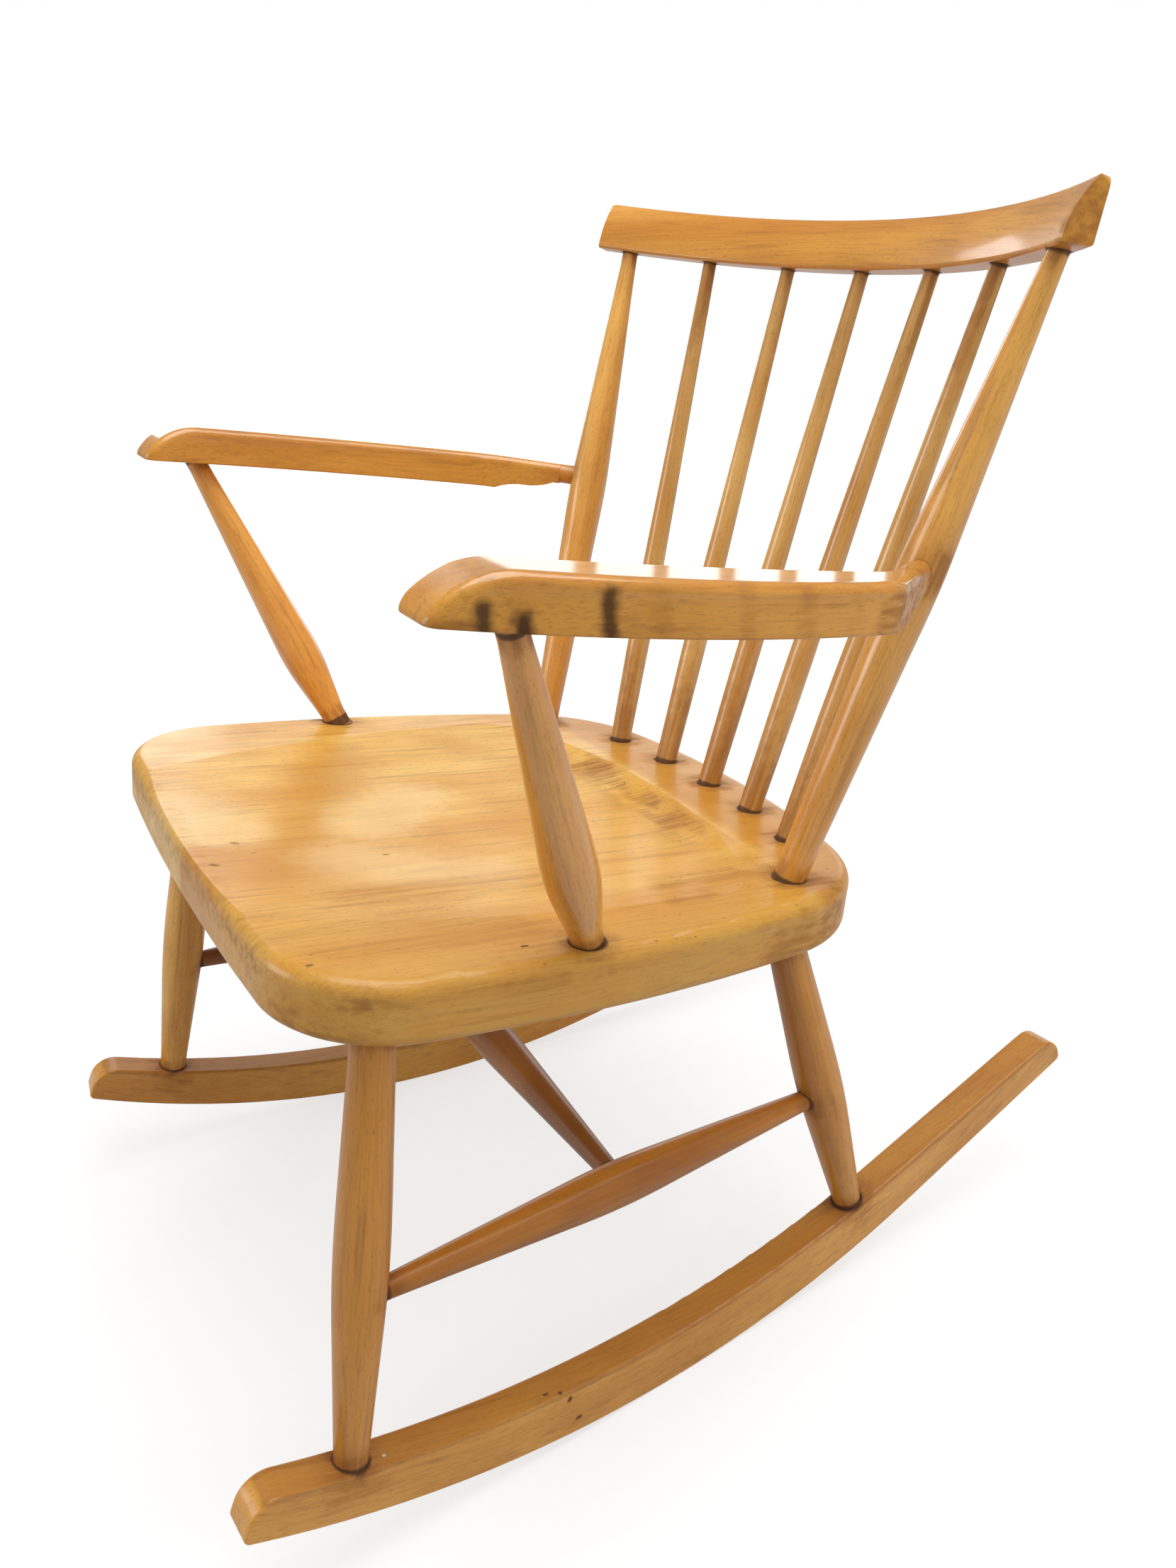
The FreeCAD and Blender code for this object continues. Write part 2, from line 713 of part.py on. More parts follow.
def dish_cutter():
    """A block whose underside is the hollow's surface, a smooth sheet through a grid of points."""
    margin = size["overrun"]
    half = size["dish_width"] / 2 + margin
    front = size["seat_front_y"] - margin
    back = size["dish_rear_y"] + margin
    grid = []
    for across in range(DISH_POINTS):
        x = -half + 2 * half * across / (DISH_POINTS - 1)
        rows = [front + (back - front) * along / (DISH_POINTS - 1) for along in range(DISH_POINTS)]
        grid.append([Vector(x, y, dish_height(x, y)) for y in rows])
    surface = Part.BSplineSurface()
    surface.interpolate(grid)
    cutter = doc.addObject("Part::Feature", "dish_cutter")
    cutter.Shape = surface.toShape().extrude(Vector(0, 0, 2 * margin))
    cutter.Placement = seat_place
    return cutter


# Crest rail


def crest_blank():
    """The crest: a leaning teardrop section swept round the arc of the back."""
    body = new_body("crest_blank", crest_place)
    sketch = sketch_on(body, "YZ_Plane", "section")
    half = size["crest_foot_thickness"] / 2
    tall = size["crest_height"]
    crown = half - size["crest_top_thickness"]
    corners = [(-half, 0), (half, 0), (half, tall), (crown, tall)]
    face = math.dist(corners[3], corners[0]) / 2
    draw_outline(sketch, "crest", corners, {3: arc_radius(face, size["crest_front_bulge"])})
    axis = sketch.addGeometry(
        Part.LineSegment(Vector(-size["crest_radius"], 0, 0), Vector(-size["crest_radius"], tall, 0)), True
    )
    place_point(sketch, axis, 1, -size["crest_radius"], 0, "-sizes.crest_radius", "0")
    place_point(sketch, axis, 2, -size["crest_radius"], tall, "-sizes.crest_radius", "sizes.crest_height")
    bend = body.newObject("PartDesign::Revolution", "Bend")
    bend.Profile = sketch
    bend.ReferenceAxis = (sketch, ["Axis0"])
    bend.Midplane = True
    bend.Angle = 2 * size["crest_half_angle"]
    bind(bend, "Angle", "2 * sizes.crest_half_angle")

    def long_edge(height):
        def test(edge):
            ends = [vertex.Point for vertex in edge.Vertexes]
            if len(ends) != 2 or ends[0].x * ends[1].x > 0:
                return False
            return all(abs(end.z - height) < SAME_POINT for end in ends)
        return test

    feet = fillet(body, bend, "FootEdges", "crest_foot_round", long_edge(0))
    tops = fillet(body, feet, "TopEdges", "crest_top_round", long_edge(tall))
    reach = (size["crest_radius"] + half) * math.sin(math.radians(size["crest_half_angle"]))
    corner = size["crest_corner_round"]
    for side, name in ((1, "LeftCorner"), (-1, "RightCorner")):
        clip = sketch_on(body, "XZ_Plane", name)
        above = size["overrun"]
        clip_corners = [
            (side * reach, tall - corner), (side * (reach + above), tall - corner),
            (side * (reach + above), tall + above), (side * (reach - corner), tall + above),
            (side * (reach - corner), tall),
        ]
        draw_outline(clip, name.lower(), clip_corners, {4: -side * corner})
        cut_through(body, clip, name)
    return body


# Arms


def arm_blank():
    """The arm: a board bent in plan, scooped below at the rear, with a rounded-down nose."""
    body = new_body("arm_blank", arm_place)
    neck = size["arm_neck_radius"]
    angle = math.radians(size["arm_neck_angle"])
    ahead = (math.sin(angle), -math.cos(angle))
    outward = (math.cos(angle), math.sin(angle))

    def on_neck(along, side):
        return tuple(along * ahead[axis] + side * neck * outward[axis] for axis in (0, 1))

    front = size["arm_front_y"]
    inner = (size["arm_front_inner_x"], front)
    outer = (size["arm_front_inner_x"] + size["arm_front_width"], front)
    outer_corner = on_neck(size["arm_outer_corner"], 1)
    inner_corner = on_neck(size["arm_inner_corner"], -1)
    outer_end = on_neck(size["arm_neck_end"], 1)
    inner_end = on_neck(size["arm_neck_end"], -1)
    corners = [inner, outer, outer_corner, outer_end, inner_end, inner_corner]
    outer_arc = arc_radius(math.dist(outer, outer_corner) / 2, size["arm_outer_bulge"])
    inner_arc = arc_radius(math.dist(inner, inner_corner) / 2, size["arm_inner_bulge"])
    plan = sketch_on(body, "XY_Plane", "plan")
    draw_outline(plan, "arm", corners, {1: outer_arc, 5: -inner_arc})
    board = pad(body, plan, "arm_thickness", downward=True)
    thickness = size["arm_thickness"]

    def upright(places):
        def test(edge):
            ends = [vertex.Point for vertex in edge.Vertexes]
            if len(ends) != 2 or abs(abs(ends[0].z - ends[1].z) - thickness) > SAME_POINT:
                return False
            return any(math.dist((ends[0].x, ends[0].y), place) < SAME_POINT for place in places)
        return test

    fronts = fillet(body, board, "FrontCorners", "arm_front_corner_round", upright(corners[:2]))
    bend = fillet(body, fronts, "RearCorner", "arm_outer_corner_round", upright((outer_corner,)))
    fillet(body, bend, "InnerCorner", "arm_inner_corner_round", upright((inner_corner,)))
    nose = size["arm_nose_length"]
    nose_drop = thickness - size["arm_nose_edge"]
    above = size["overrun"]
    nose_cut = sketch_on(body, "YZ_Plane", "nose")
    nose_corners = [
        (front - above, -nose_drop), (front, -nose_drop), (front + nose, 0),
        (front + nose, above), (front - above, above),
    ]
    draw_outline(nose_cut, "arm_nose", nose_corners, {1: -arc_radius_tangent(nose, nose_drop)})
    nosed = cut_through(body, nose_cut, "Nose")

    def long_edge(height):
        def test(edge):
            return edge.Length > nose and all(abs(vertex.Z - height) < SAME_POINT for vertex in edge.Vertexes)
        return test

    tops = fillet(body, nosed, "TopEdges", "arm_top_round", long_edge(0))
    fillet(body, tops, "FootEdges", "arm_bottom_round", long_edge(-thickness))
    start = size["arm_scoop_start_y"]
    end = size["arm_scoop_end_y"]
    rise = thickness - 2 * neck
    middle = ((start + end) / 2, -thickness + rise / 2)
    sweep = ((end - start) ** 2 + rise ** 2) / (4 * rise)
    scoop_corners = [
        (start, -thickness), (start, -thickness - above), (above, -thickness - above),
        (above, -2 * neck), (end, -2 * neck), middle,
    ]
    scoop_cut = sketch_on(body, "YZ_Plane", "scoop")
    draw_outline(scoop_cut, "arm_scoop", scoop_corners, {4: -sweep, 5: sweep})
    cut_through(body, scoop_cut, "Scoop")
    return body


def cut_through(body, sketch, name):
    """Cuts a side profile right across the piece."""
    doc.recompute()
    before = body.Shape.Volume
    feature = body.newObject("PartDesign::Pocket", name)
    feature.Profile = sketch
    feature.Type = "ThroughAll"
    feature.Midplane = True
    doc.recompute()
    if not body.Shape.Volume < before:
        raise RuntimeError(f"{name} cut nothing")
    return feature


# Assembly


def fused(label, pieces):
    whole = doc.addObject("Part::MultiFuse", label)
    whole.Shapes = pieces
    return whole


def foot_drill(label, ends, sizes):
    """The drill for the tenon at the foot of a turned piece."""
    return socket(label, ends[0], toward(ends[1], ends[0]), sizes[0], sizes[5])


def top_drill(label, ends, sizes):
    """The drill for the tenon at the top of a turned piece."""
    return socket(label, ends[1], toward(ends[0], ends[1]), sizes[2], sizes[6])


def both_sides(drill):
    return [drill, mirrored(f"{drill.Label}_right", drill)]


neck_angle = math.radians(size["arm_neck_angle"])
arm_tenon_axis = arm_turn.multVec(Vector(math.sin(neck_angle), -math.cos(neck_angle), 0))
tenon_tip = size["post_belly_radius"] - size["arm_tenon_depth"]
arm_tenon = doc.addObject("Part::Cylinder", "arm_tenon")
bind(arm_tenon, "Radius", "sizes.arm_neck_radius")
bind(arm_tenon, "Height", "sizes.arm_inner_corner - sizes.post_belly_radius + sizes.arm_tenon_depth")
arm_tenon.Placement = aim(arm_joint + arm_tenon_axis * tenon_tip, arm_tenon_axis)

front_foot_drill = foot_drill("front_foot_drill", front_leg_ends, LEG)
front_top_drill = top_drill("front_top_drill", front_leg_ends, LEG)
back_foot_drill = foot_drill("back_foot_drill", back_leg_ends, LEG)
back_top_drill = top_drill("back_top_drill", back_leg_ends, LEG)
side_front_drill = foot_drill("side_front_drill", side_ends, SIDE_STRETCHER)
side_rear_drill = top_drill("side_rear_drill", side_ends, SIDE_STRETCHER)
cross_drill = top_drill("cross_drill", cross_ends, CROSS_STRETCHER)
support_foot_drill = foot_drill("support_foot_drill", support_ends, SUPPORT)
support_top_drill = top_drill("support_top_drill", support_ends, SUPPORT)
post_foot_drill = foot_drill("post_foot_drill", post_ends, POST)
post_top_drill = top_drill("post_top_drill", post_ends, POST)
arm_mouth = arm_joint + arm_tenon_axis * size["post_belly_radius"]
arm_drill = socket("arm_drill", arm_mouth, -arm_tenon_axis, "arm_neck_radius", "arm_tenon_depth")
spindle_foot_drills = []
spindle_top_drills = []
for number in range(SPINDLES_EACH_SIDE + 1):
    lower = foot_drill(f"spindle_foot_drill_{number}", spindle_ends(number), SPINDLE)
    upper = top_drill(f"spindle_top_drill_{number}", spindle_ends(number), SPINDLE)
    spindle_foot_drills += both_sides(lower) if number else [lower]
    spindle_top_drills += both_sides(upper) if number else [upper]

seat_tools = []
for drill in (front_top_drill, back_top_drill, support_foot_drill, post_foot_drill):
    seat_tools += both_sides(drill)
seat = drilled("seat", seat_blank(), seat_tools + spindle_foot_drills + [dish_cutter()])
crest = drilled("crest_rail", crest_blank(), both_sides(post_top_drill) + spindle_top_drills)
rocker = drilled("rocker_left", rocker_blank(), [front_foot_drill, back_foot_drill])
front_leg = drilled("front_leg_left", front_leg_blank, [side_front_drill])
back_leg = drilled("back_leg_left", back_leg_blank, [side_rear_drill])
side_stretcher = drilled("side_stretcher_left", side_stretcher_blank, [cross_drill])
post = drilled("back_post_left", post_blank, [arm_drill])
arm = drilled("arm_left", fused("arm_with_tenon", [arm_blank(), arm_tenon]), [support_top_drill])

nodes = [seat, crest, cross_stretcher, spindles[0]]
for left in [rocker, front_leg, back_leg, side_stretcher, support, post, arm] + spindles[1:]:
    nodes += [left, mirrored(left.Label.replace("left", "right"), left)]
doc.recompute()

for thing in doc.Objects:
    if "Invalid" in thing.State or "Error" in thing.State:
        raise RuntimeError(f"{thing.Label} failed: {thing.State}")
for node in nodes:
    if node.Shape.isNull() or not node.Shape.isValid() or len(node.Shape.Solids) != 1:
        raise RuntimeError(f"{node.Label} is not one sound solid")

os.makedirs("parts", exist_ok=True)
for node in nodes:
    node.Shape.exportStep(f"parts/{node.Label}.step")
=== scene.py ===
"""Dresses the rocking chair: lacquered beech on every piece, old lacquer round the joints,
and a pale floor with soft light and a camera at the photograph's angle."""

import json
import math
from dataclasses import dataclass

import bmesh
import bpy
import numpy as np
from bpy.props import FloatProperty, FloatVectorProperty, IntProperty, PointerProperty
from mathutils import Matrix, Vector
from mathutils.bvhtree import BVHTree

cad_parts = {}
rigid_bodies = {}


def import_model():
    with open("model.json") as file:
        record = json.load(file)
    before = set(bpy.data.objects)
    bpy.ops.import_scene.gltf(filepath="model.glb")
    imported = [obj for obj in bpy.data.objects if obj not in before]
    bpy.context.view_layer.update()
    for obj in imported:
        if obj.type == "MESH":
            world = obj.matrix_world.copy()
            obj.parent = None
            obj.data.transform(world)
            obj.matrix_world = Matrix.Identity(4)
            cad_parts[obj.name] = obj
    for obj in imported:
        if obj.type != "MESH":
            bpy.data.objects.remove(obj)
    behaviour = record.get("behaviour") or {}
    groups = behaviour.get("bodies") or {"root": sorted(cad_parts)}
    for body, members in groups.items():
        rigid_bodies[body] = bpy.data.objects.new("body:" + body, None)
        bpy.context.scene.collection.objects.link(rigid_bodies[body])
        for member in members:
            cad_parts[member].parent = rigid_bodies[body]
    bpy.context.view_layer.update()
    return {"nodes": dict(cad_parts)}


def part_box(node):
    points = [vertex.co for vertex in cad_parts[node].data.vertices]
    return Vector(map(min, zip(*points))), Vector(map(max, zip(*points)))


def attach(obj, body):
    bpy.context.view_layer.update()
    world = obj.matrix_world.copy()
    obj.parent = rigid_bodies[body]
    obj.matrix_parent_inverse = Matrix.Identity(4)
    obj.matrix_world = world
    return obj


bl_info = {
    "name": "Rocking Chair",
    "version": (1, 0, 0),
    "blender": (4, 5, 0),
    "location": "3D View > Sidebar > Rocking Chair",
    "description": "Finishes the wood of a rocking armchair and sets it on a pale floor",
    "category": "Object",
}

for left_over in list(bpy.data.objects):
    bpy.data.objects.remove(left_over)

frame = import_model()

BODY = "root"
SIDES = ("left", "right")
X_AXIS, Z_AXIS = 0, 2


def tone(red, green, blue):
    """A colour written in screen values from 0 to 255, as the linear values that a shader takes."""
    shares = (channel / 255 for channel in (red, green, blue))
    return tuple(s / 12.92 if s <= 0.04045 else ((s + 0.055) / 1.055) ** 2.4 for s in shares)


def opaque(colour):
    return (*colour, 1.0)


# Node trees

class Field:
    """An output socket that takes part in Python sums, for shader and geometry trees alike."""

    def __init__(self, tree, socket):
        self.tree = tree
        self.socket = socket

    def __add__(self, other):
        return self.tree.maths("ADD", self, other)

    def __sub__(self, other):
        return self.tree.maths("SUBTRACT", self, other)

    def __rsub__(self, other):
        return self.tree.maths("SUBTRACT", other, self)

    def __mul__(self, other):
        return self.tree.maths("MULTIPLY", self, other)

    def highest(self, other):
        return self.tree.maths("MAXIMUM", self, other)


class Tree:
    """A node tree under construction."""

    def __init__(self, tree):
        self.tree = tree

    def node(self, kind, settings=None, inputs=None, output=0):
        """Adds one node: its settings first, then a value or a link for each socket named."""
        node = self.tree.nodes.new(kind)
        for key, value in (settings or {}).items():
            setattr(node, key, value)
        for key, value in (inputs or {}).items():
            if isinstance(value, Field):
                self.tree.links.new(value.socket, node.inputs[key])
            else:
                node.inputs[key].default_value = value
        return Field(self, node.outputs[output]) if node.outputs else None

    def fields(self, kind, names, inputs=None):
        """Adds one node and gives the outputs named."""
        sockets = self.node(kind, None, inputs).socket.node.outputs
        return tuple(Field(self, sockets[name]) for name in names)

    def maths(self, operation, first, second=0.0):
        return self.node("ShaderNodeMath", {"operation": operation}, {0: first, 1: second})

    def vector(self, operation, first, second=(0, 0, 0), output=0):
        return self.node("ShaderNodeVectorMath", {"operation": operation}, {0: first, 1: second}, output)

    def scaled(self, vector, factor):
        return self.node("ShaderNodeVectorMath", {"operation": "SCALE"}, {0: vector, "Scale": factor})

    def mix(self, factor, first, second):
        """One colour over another. The node's colours are its sockets 6 and 7, and its result is 2."""
        first, second = (c if isinstance(c, Field) else opaque(c) for c in (first, second))
        return self.node("ShaderNodeMix", {"data_type": "RGBA"}, {0: factor, 6: first, 7: second}, 2)

    def step(self, value, low, high, start=0.0, end=1.0):
        """A smooth rise from start to end as the value goes from low to high."""
        settings = {"interpolation_type": "SMOOTHSTEP", "clamp": True}
        return self.node("ShaderNodeMapRange", settings, {0: value, 1: low, 2: high, 3: start, 4: end})

    def between(self, value, rise, fall):
        """1 between two fades, and 0 outside them. Rise and fall are the two ends of each fade."""
        return self.step(value, *rise) * self.step(value, *fall, 1.0, 0.0)

    def noise(self, vector, scale, detail=2.0, roughness=0.5):
        """Soft noise. Its scale is one number, or one for each axis."""
        if isinstance(scale, tuple):
            vector, scale = self.vector("MULTIPLY", vector, scale), 1.0
        sockets = {"Vector": vector, "Scale": scale, "Detail": detail, "Roughness": roughness}
        return self.node("ShaderNodeTexNoise", None, sockets)

    def split(self, vector):
        return self.fields("ShaderNodeSeparateXYZ", ("X", "Y", "Z"), {0: vector})

    def joined(self, x, y, z):
        return self.node("ShaderNodeCombineXYZ", None, {0: x, 1: y, 2: z})


def empty_tree(owner):
    """The node tree of a material or a world, without the nodes that it starts with."""
    owner.use_nodes = True
    owner.node_tree.nodes.clear()
    return Tree(owner.node_tree)


def new_material(name):
    material = bpy.data.materials.new(name)
    return material, empty_tree(material)


# Grain

@dataclass
class Place:
    """The frame that a piece's grain follows: local Z runs along the grain."""

    centre: Vector
    turn: Matrix
    bend_radius: float = 0.0


def mesh_points(node):
    mesh = frame["nodes"][node].data
    points = np.empty(len(mesh.vertices) * 3)
    mesh.vertices.foreach_get("co", points)
    return points.reshape(-1, 3)


def straight_place(node):
    """A frame on a straight piece's own axis."""
    points = mesh_points(node)
    centre = points.mean(axis=0)
    along = Vector(np.linalg.svd(points - centre, full_matrices=False)[2][0])
    return Place(Vector(centre), along.to_track_quat("Z", "Y").to_matrix())


def circle_through(flat_points):
    """The centre and radius of the circle that fits points in a plane best."""
    rows = np.column_stack([2 * flat_points, np.ones(len(flat_points))])
    answer = np.linalg.lstsq(rows, (flat_points ** 2).sum(axis=1), rcond=None)[0]
    return answer[:2], math.sqrt(answer[2] + answer[0] ** 2 + answer[1] ** 2)


def bent_place(node, across):
    """A frame at the middle of a bent piece's curve, whose grain follows the bend.
    Across is the axis that the bend goes round: X for a rocker and Z for the crest."""
    points = mesh_points(node)
    flat = [axis for axis in range(3) if axis != across]
    middle, radius = circle_through(points[:, flat])
    mean = points.mean(axis=0)
    centre = mean.copy()
    centre[flat] = middle
    radial = (Vector(mean) - Vector(centre)).normalized()
    around = Vector([axis == across for axis in range(3)])
    turn = Matrix((radial, around, radial.cross(around))).transposed()
    return Place(Vector(centre), turn, radius)


# Wood

# The scale of each pattern of the wood. Where it has three numbers, the last is along the grain
BAND_SCALE = (34, 34, 2.2)
STREAK_SCALE = (170, 170, 9)
FIBRE_SCALE = (620, 620, 16)
FLECK_SCALE = (1000, 1000, 190)
CLOUD_SCALE = 13.0
EDGE_SCALE = 110.0
RIPPLE_SCALE = 45.0
PATTERN_SHIFT = Vector((1.37, 0.71, 2.93))

# Between which values of a pattern its colour sets in
BAND_RANGE = (0.32, 0.68)
CLOUD_RANGE = (0.35, 0.75)
STREAK_RANGE = (0.56, 0.72)
FIBRE_RANGE = (0.45, 0.75)
FLECK_RANGE = (0.6, 0.72)
STAIN_RANGE = (0.38, 0.58)
ROUGH_RANGE = (0.3, 0.7)

# How amber the clouds are at most, and how far the roughness falls and rises in them
CLOUD_AMBER = 0.45
SMOOTHER, ROUGHER = 0.04, 0.05
FIBRE_ROUGHNESS = 0.6
LACQUER_IOR = 1.5
TONES = ("amber", "pale", "brown", "grime")
# The tones whose marks roughen the lacquer: grime, and brown, which also paints shade
DIRT_AND_SHADE_TONES = ("brown", "grime")


@dataclass
class Mark:
    """A place where something has gathered or worn, or where a highlight or shade is painted on. It lies
    along the line from start to stop, is full as far as core from that line and gone at reach. All lengths
    are in metres.
    Tone is the name of the wood setting that it is coloured by."""

    start: tuple
    stop: tuple
    core: float
    reach: float
    strength: float
    tone: str = "grime"


def grain_vector(tree, place, seed):
    """The Object coordinates, and the same laid along the grain. The second are shifted by the seed,
    so that no two pieces share a pattern."""
    coordinates = tree.node("ShaderNodeTexCoord", output="Object")
    turned = {"Location": place.centre, "Rotation": place.turn.to_euler()}
    local = tree.node("ShaderNodeMapping", {"vector_type": "TEXTURE"}, {"Vector": coordinates, **turned})
    if place.bend_radius:
        x, y, z = tree.split(local)
        angle = tree.maths("ARCTAN2", z, x)
        distance = tree.vector("LENGTH", tree.joined(x, 0.0, z), output="Value")
        local = tree.joined(distance, y, angle * place.bend_radius)
    return coordinates, tree.vector("ADD", local, tuple(PATTERN_SHIFT * seed))


def mark_mask(tree, coordinates, marks, unevenness):
    """How strongly any of the marks shows at a point, or nothing where there are no marks."""
    mask = None
    for mark in marks:
        away = tree.vector("SUBTRACT", coordinates, tuple(mark.start))
        line = Vector(mark.stop) - Vector(mark.start)
        if line.length > 0:
            share = tree.vector("DOT_PRODUCT", away, tuple(line / line.length_squared), "Value")
            share = tree.node("ShaderNodeClamp", None, {"Value": share})
            away = tree.vector("SUBTRACT", away, tree.scaled(tuple(line), share))
        distance = tree.vector("LENGTH", away, output="Value") + unevenness * (mark.reach - mark.core)
        edge = tree.step(distance, mark.core, mark.reach, mark.strength, 0.0)
        mask = mask.highest(edge) if mask else edge
    return mask


def with_marks(tree, coordinates, colour, streaks, wood, marks):
    """The colour with the marks laid over it, and a mask of where the surface is dirty and where shade is
    painted, from the brown and grime marks.
    Every piece has a joint, so that mask is never empty. Brown stains show most along the grain's streaks."""
    unevenness = tree.noise(coordinates, EDGE_SCALE, detail=3.0) - 0.5
    along_grain = tree.step(streaks, *STAIN_RANGE, wood.least_stain, 1.0)
    dirt_and_shade = None
    for shade in TONES:
        mask = mark_mask(tree, coordinates, [mark for mark in marks if mark.tone == shade], unevenness)
        if not mask:
            continue
        if shade == "brown":
            mask = mask * along_grain
        colour = tree.mix(mask, colour, getattr(wood, shade))
        # Brown marks include painted shade at the spindles' ends and at the arms' rear ends, and they roughen
        # the lacquer like dirt
        if shade in DIRT_AND_SHADE_TONES:
            dirt_and_shade = dirt_and_shade.highest(mask) if dirt_and_shade else mask
    return colour, dirt_and_shade


def lacquered_wood(name, place, wood, seed, marks, kind, tint, coat):
    """Beech under amber lacquer. Kind is the kind of piece that the colours of the bands go by.
    Tint, where given, is a function of the tree, its Object coordinates and the colour so far,
    and coat is a function of the first two that says how much clear top coat there is."""
    material, tree = new_material(name)
    coordinates, grain = grain_vector(tree, place, seed)
    bands = tree.noise(grain, BAND_SCALE, detail=3.0)
    streaks = tree.noise(grain, STREAK_SCALE)
    fibre = tree.noise(grain, FIBRE_SCALE, detail=3.0, roughness=FIBRE_ROUGHNESS)
    flecks = tree.noise(grain, FLECK_SCALE, detail=1.0)
    clouds = tree.noise(coordinates, CLOUD_SCALE)

    colour = tree.mix(tree.step(bands, *BAND_RANGE), *wood.bands(kind))
    colour = tree.mix(tree.step(clouds, *CLOUD_RANGE, 0.0, CLOUD_AMBER), colour, wood.amber)
    browns = (
        (streaks, STREAK_RANGE, wood.streak_strength),
        (fibre, FIBRE_RANGE, wood.fibre_strength),
        (flecks, FLECK_RANGE, wood.fleck_strength),
    )
    for pattern, span, strength in browns:
        colour = tree.mix(tree.step(pattern, *span, 0.0, strength), colour, wood.brown)
    if tint:
        colour = tint(tree, coordinates, colour)
    cover = coat(tree, coordinates) if coat else wood.coat
    colour, dirt_and_shade = with_marks(tree, coordinates, colour, streaks, wood, marks)

    smooth, rough = wood.roughness - SMOOTHER, wood.roughness + ROUGHER
    ripple = tree.noise(coordinates, RIPPLE_SCALE, detail=1.0)
    height = ripple * wood.ripple_share + fibre * (1 - wood.ripple_share)
    relief = {"Strength": 1.0, "Distance": wood.relief, "Height": height}
    surface = tree.node("ShaderNodeBsdfPrincipled", None, {
        "Base Color": colour,
        "Roughness": tree.step(clouds, *ROUGH_RANGE, smooth, rough) + dirt_and_shade * wood.dirt_roughness,
        "Normal": tree.node("ShaderNodeBump", None, relief),
        "IOR": LACQUER_IOR,
        "Coat Weight": (1.0 - dirt_and_shade) * cover,
        "Coat Roughness": wood.coat_roughness,
    })
    tree.node("ShaderNodeOutputMaterial", None, {"Surface": surface})
    return material


def even_coat(share):
    """A top coat that is the same all over a piece."""
    return lambda tree, coordinates: share


def finish_node(node, place, wood, seed, kind="plain", tint=None, coat=None):
    """Gives a frame node its lacquered wood in place of the plain material that it came with."""
    marks = joint_marks(node, wood)
    material = lacquered_wood(f"{node}_lacquer", place, wood, seed, marks, kind, tint, coat)
    for slot in frame["nodes"][node].material_slots:
        slot.material = material


# Joints

# How near an end a point belongs to the end's face, and how near a place its radius is taken
END_FACE = 0.004
RADIUS_SPAN = 0.02
FEWEST_POINTS = 3
RADIUS_PERCENTILE = 80

# The rays that find a host's surface all round a piece, and how often the search is repeated
RAYS = 12
RAY_MARGIN = 0.0012
RAY_REACH = 0.05
FIRST_DEPTH = 0.016
ROUNDS = 3


@dataclass
class Joint:
    """A round piece that enters a socket of another: where its axis meets the other's surface."""

    piece: str
    host: str
    place: Vector
    outward: Vector
    radius: float


def turned_axis(node):
    """The two ends and the direction of a round piece's axis, and for each point of its mesh
    the distances along the axis and away from it."""
    points = mesh_points(node)
    place = straight_place(node)
    along = np.array(place.turn.col[2])
    distances = (points - np.array(place.centre)) @ along
    ends = []
    for end in (distances.min(), distances.max()):
        face = points[np.abs(distances - end) < END_FACE]
        ends.append((face.min(axis=0) + face.max(axis=0)) / 2)
    start, stop = (Vector(end) for end in ends)
    axis = (stop - start).normalized()
    distances = (points - ends[0]) @ np.array(axis)
    radii = np.linalg.norm(points - ends[0] - np.outer(distances, np.array(axis)), axis=1)
    return start, stop, axis, distances, radii


def radius_at(along, distances, radii):
    """A round piece's radius at one place of its axis. Where few points lie near, as on a plain
    shaft, the next ones on both sides give it."""
    near = np.abs(distances - along) < RADIUS_SPAN
    if near.sum() < FEWEST_POINTS:
        order = np.argsort(distances)
        return float(np.interp(along, distances[order], radii[order]))
    return float(np.percentile(radii[near], RADIUS_PERCENTILE))


def surface_depths(tip, outward, axis, radius, surface):
    """How far a piece's tip lies under its host's surface, by each ray of a ring round the piece."""
    side = axis.orthogonal().normalized()
    depths = []
    for ray in range(RAYS):
        ring = Matrix.Rotation(2 * math.pi * ray / RAYS, 3, axis) @ side
        source = tip + outward * RAY_REACH + ring * (radius + RAY_MARGIN)
        place = surface.ray_cast(source, -outward, RAY_REACH * 2)[0]
        if place is not None:
            depths.append((place - tip).dot(outward))
    return depths


def find_joint(piece, host, end):
    """The joint at one end of a round piece: 0 is the end that its axis starts from."""
    start, stop, axis, distances, radii = turned_axis(piece)
    tip, outward = (stop, -axis) if end else (start, axis)
    length = (stop - start).length
    mesh = frame["nodes"][host].data
    surface = BVHTree.FromPolygons([v.co for v in mesh.vertices], [tuple(p.vertices) for p in mesh.polygons])
    depth = FIRST_DEPTH
    for _ in range(ROUNDS):
        radius = radius_at(length - depth if end else depth, distances, radii)
        depths = surface_depths(tip, outward, axis, radius, surface)
        if not depths:
            raise RuntimeError(f"{piece} doesn't reach {host}")
        depth = float(np.mean(depths))
    return Joint(piece, host, tip + outward * depth, outward, radius)


def nearest_end(piece, host):
    """Which end of a round piece lies in the other piece: 0 for the start of its axis, 1 for its stop."""
    start, stop = turned_axis(piece)[:2]
    low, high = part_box(host)
    centre = (Vector(low) + Vector(high)) / 2

    def outside(point):
        return sum(max(low[i] - point[i], 0, point[i] - high[i]) ** 2 for i in range(3))

    misses = (outside(start), outside(stop))
    if misses[0] == misses[1]:
        return 0 if (start - centre).length < (stop - centre).length else 1
    return int(misses[1] < misses[0])


SPINDLES = sorted(node for node in frame["nodes"] if node.startswith("spindle"))


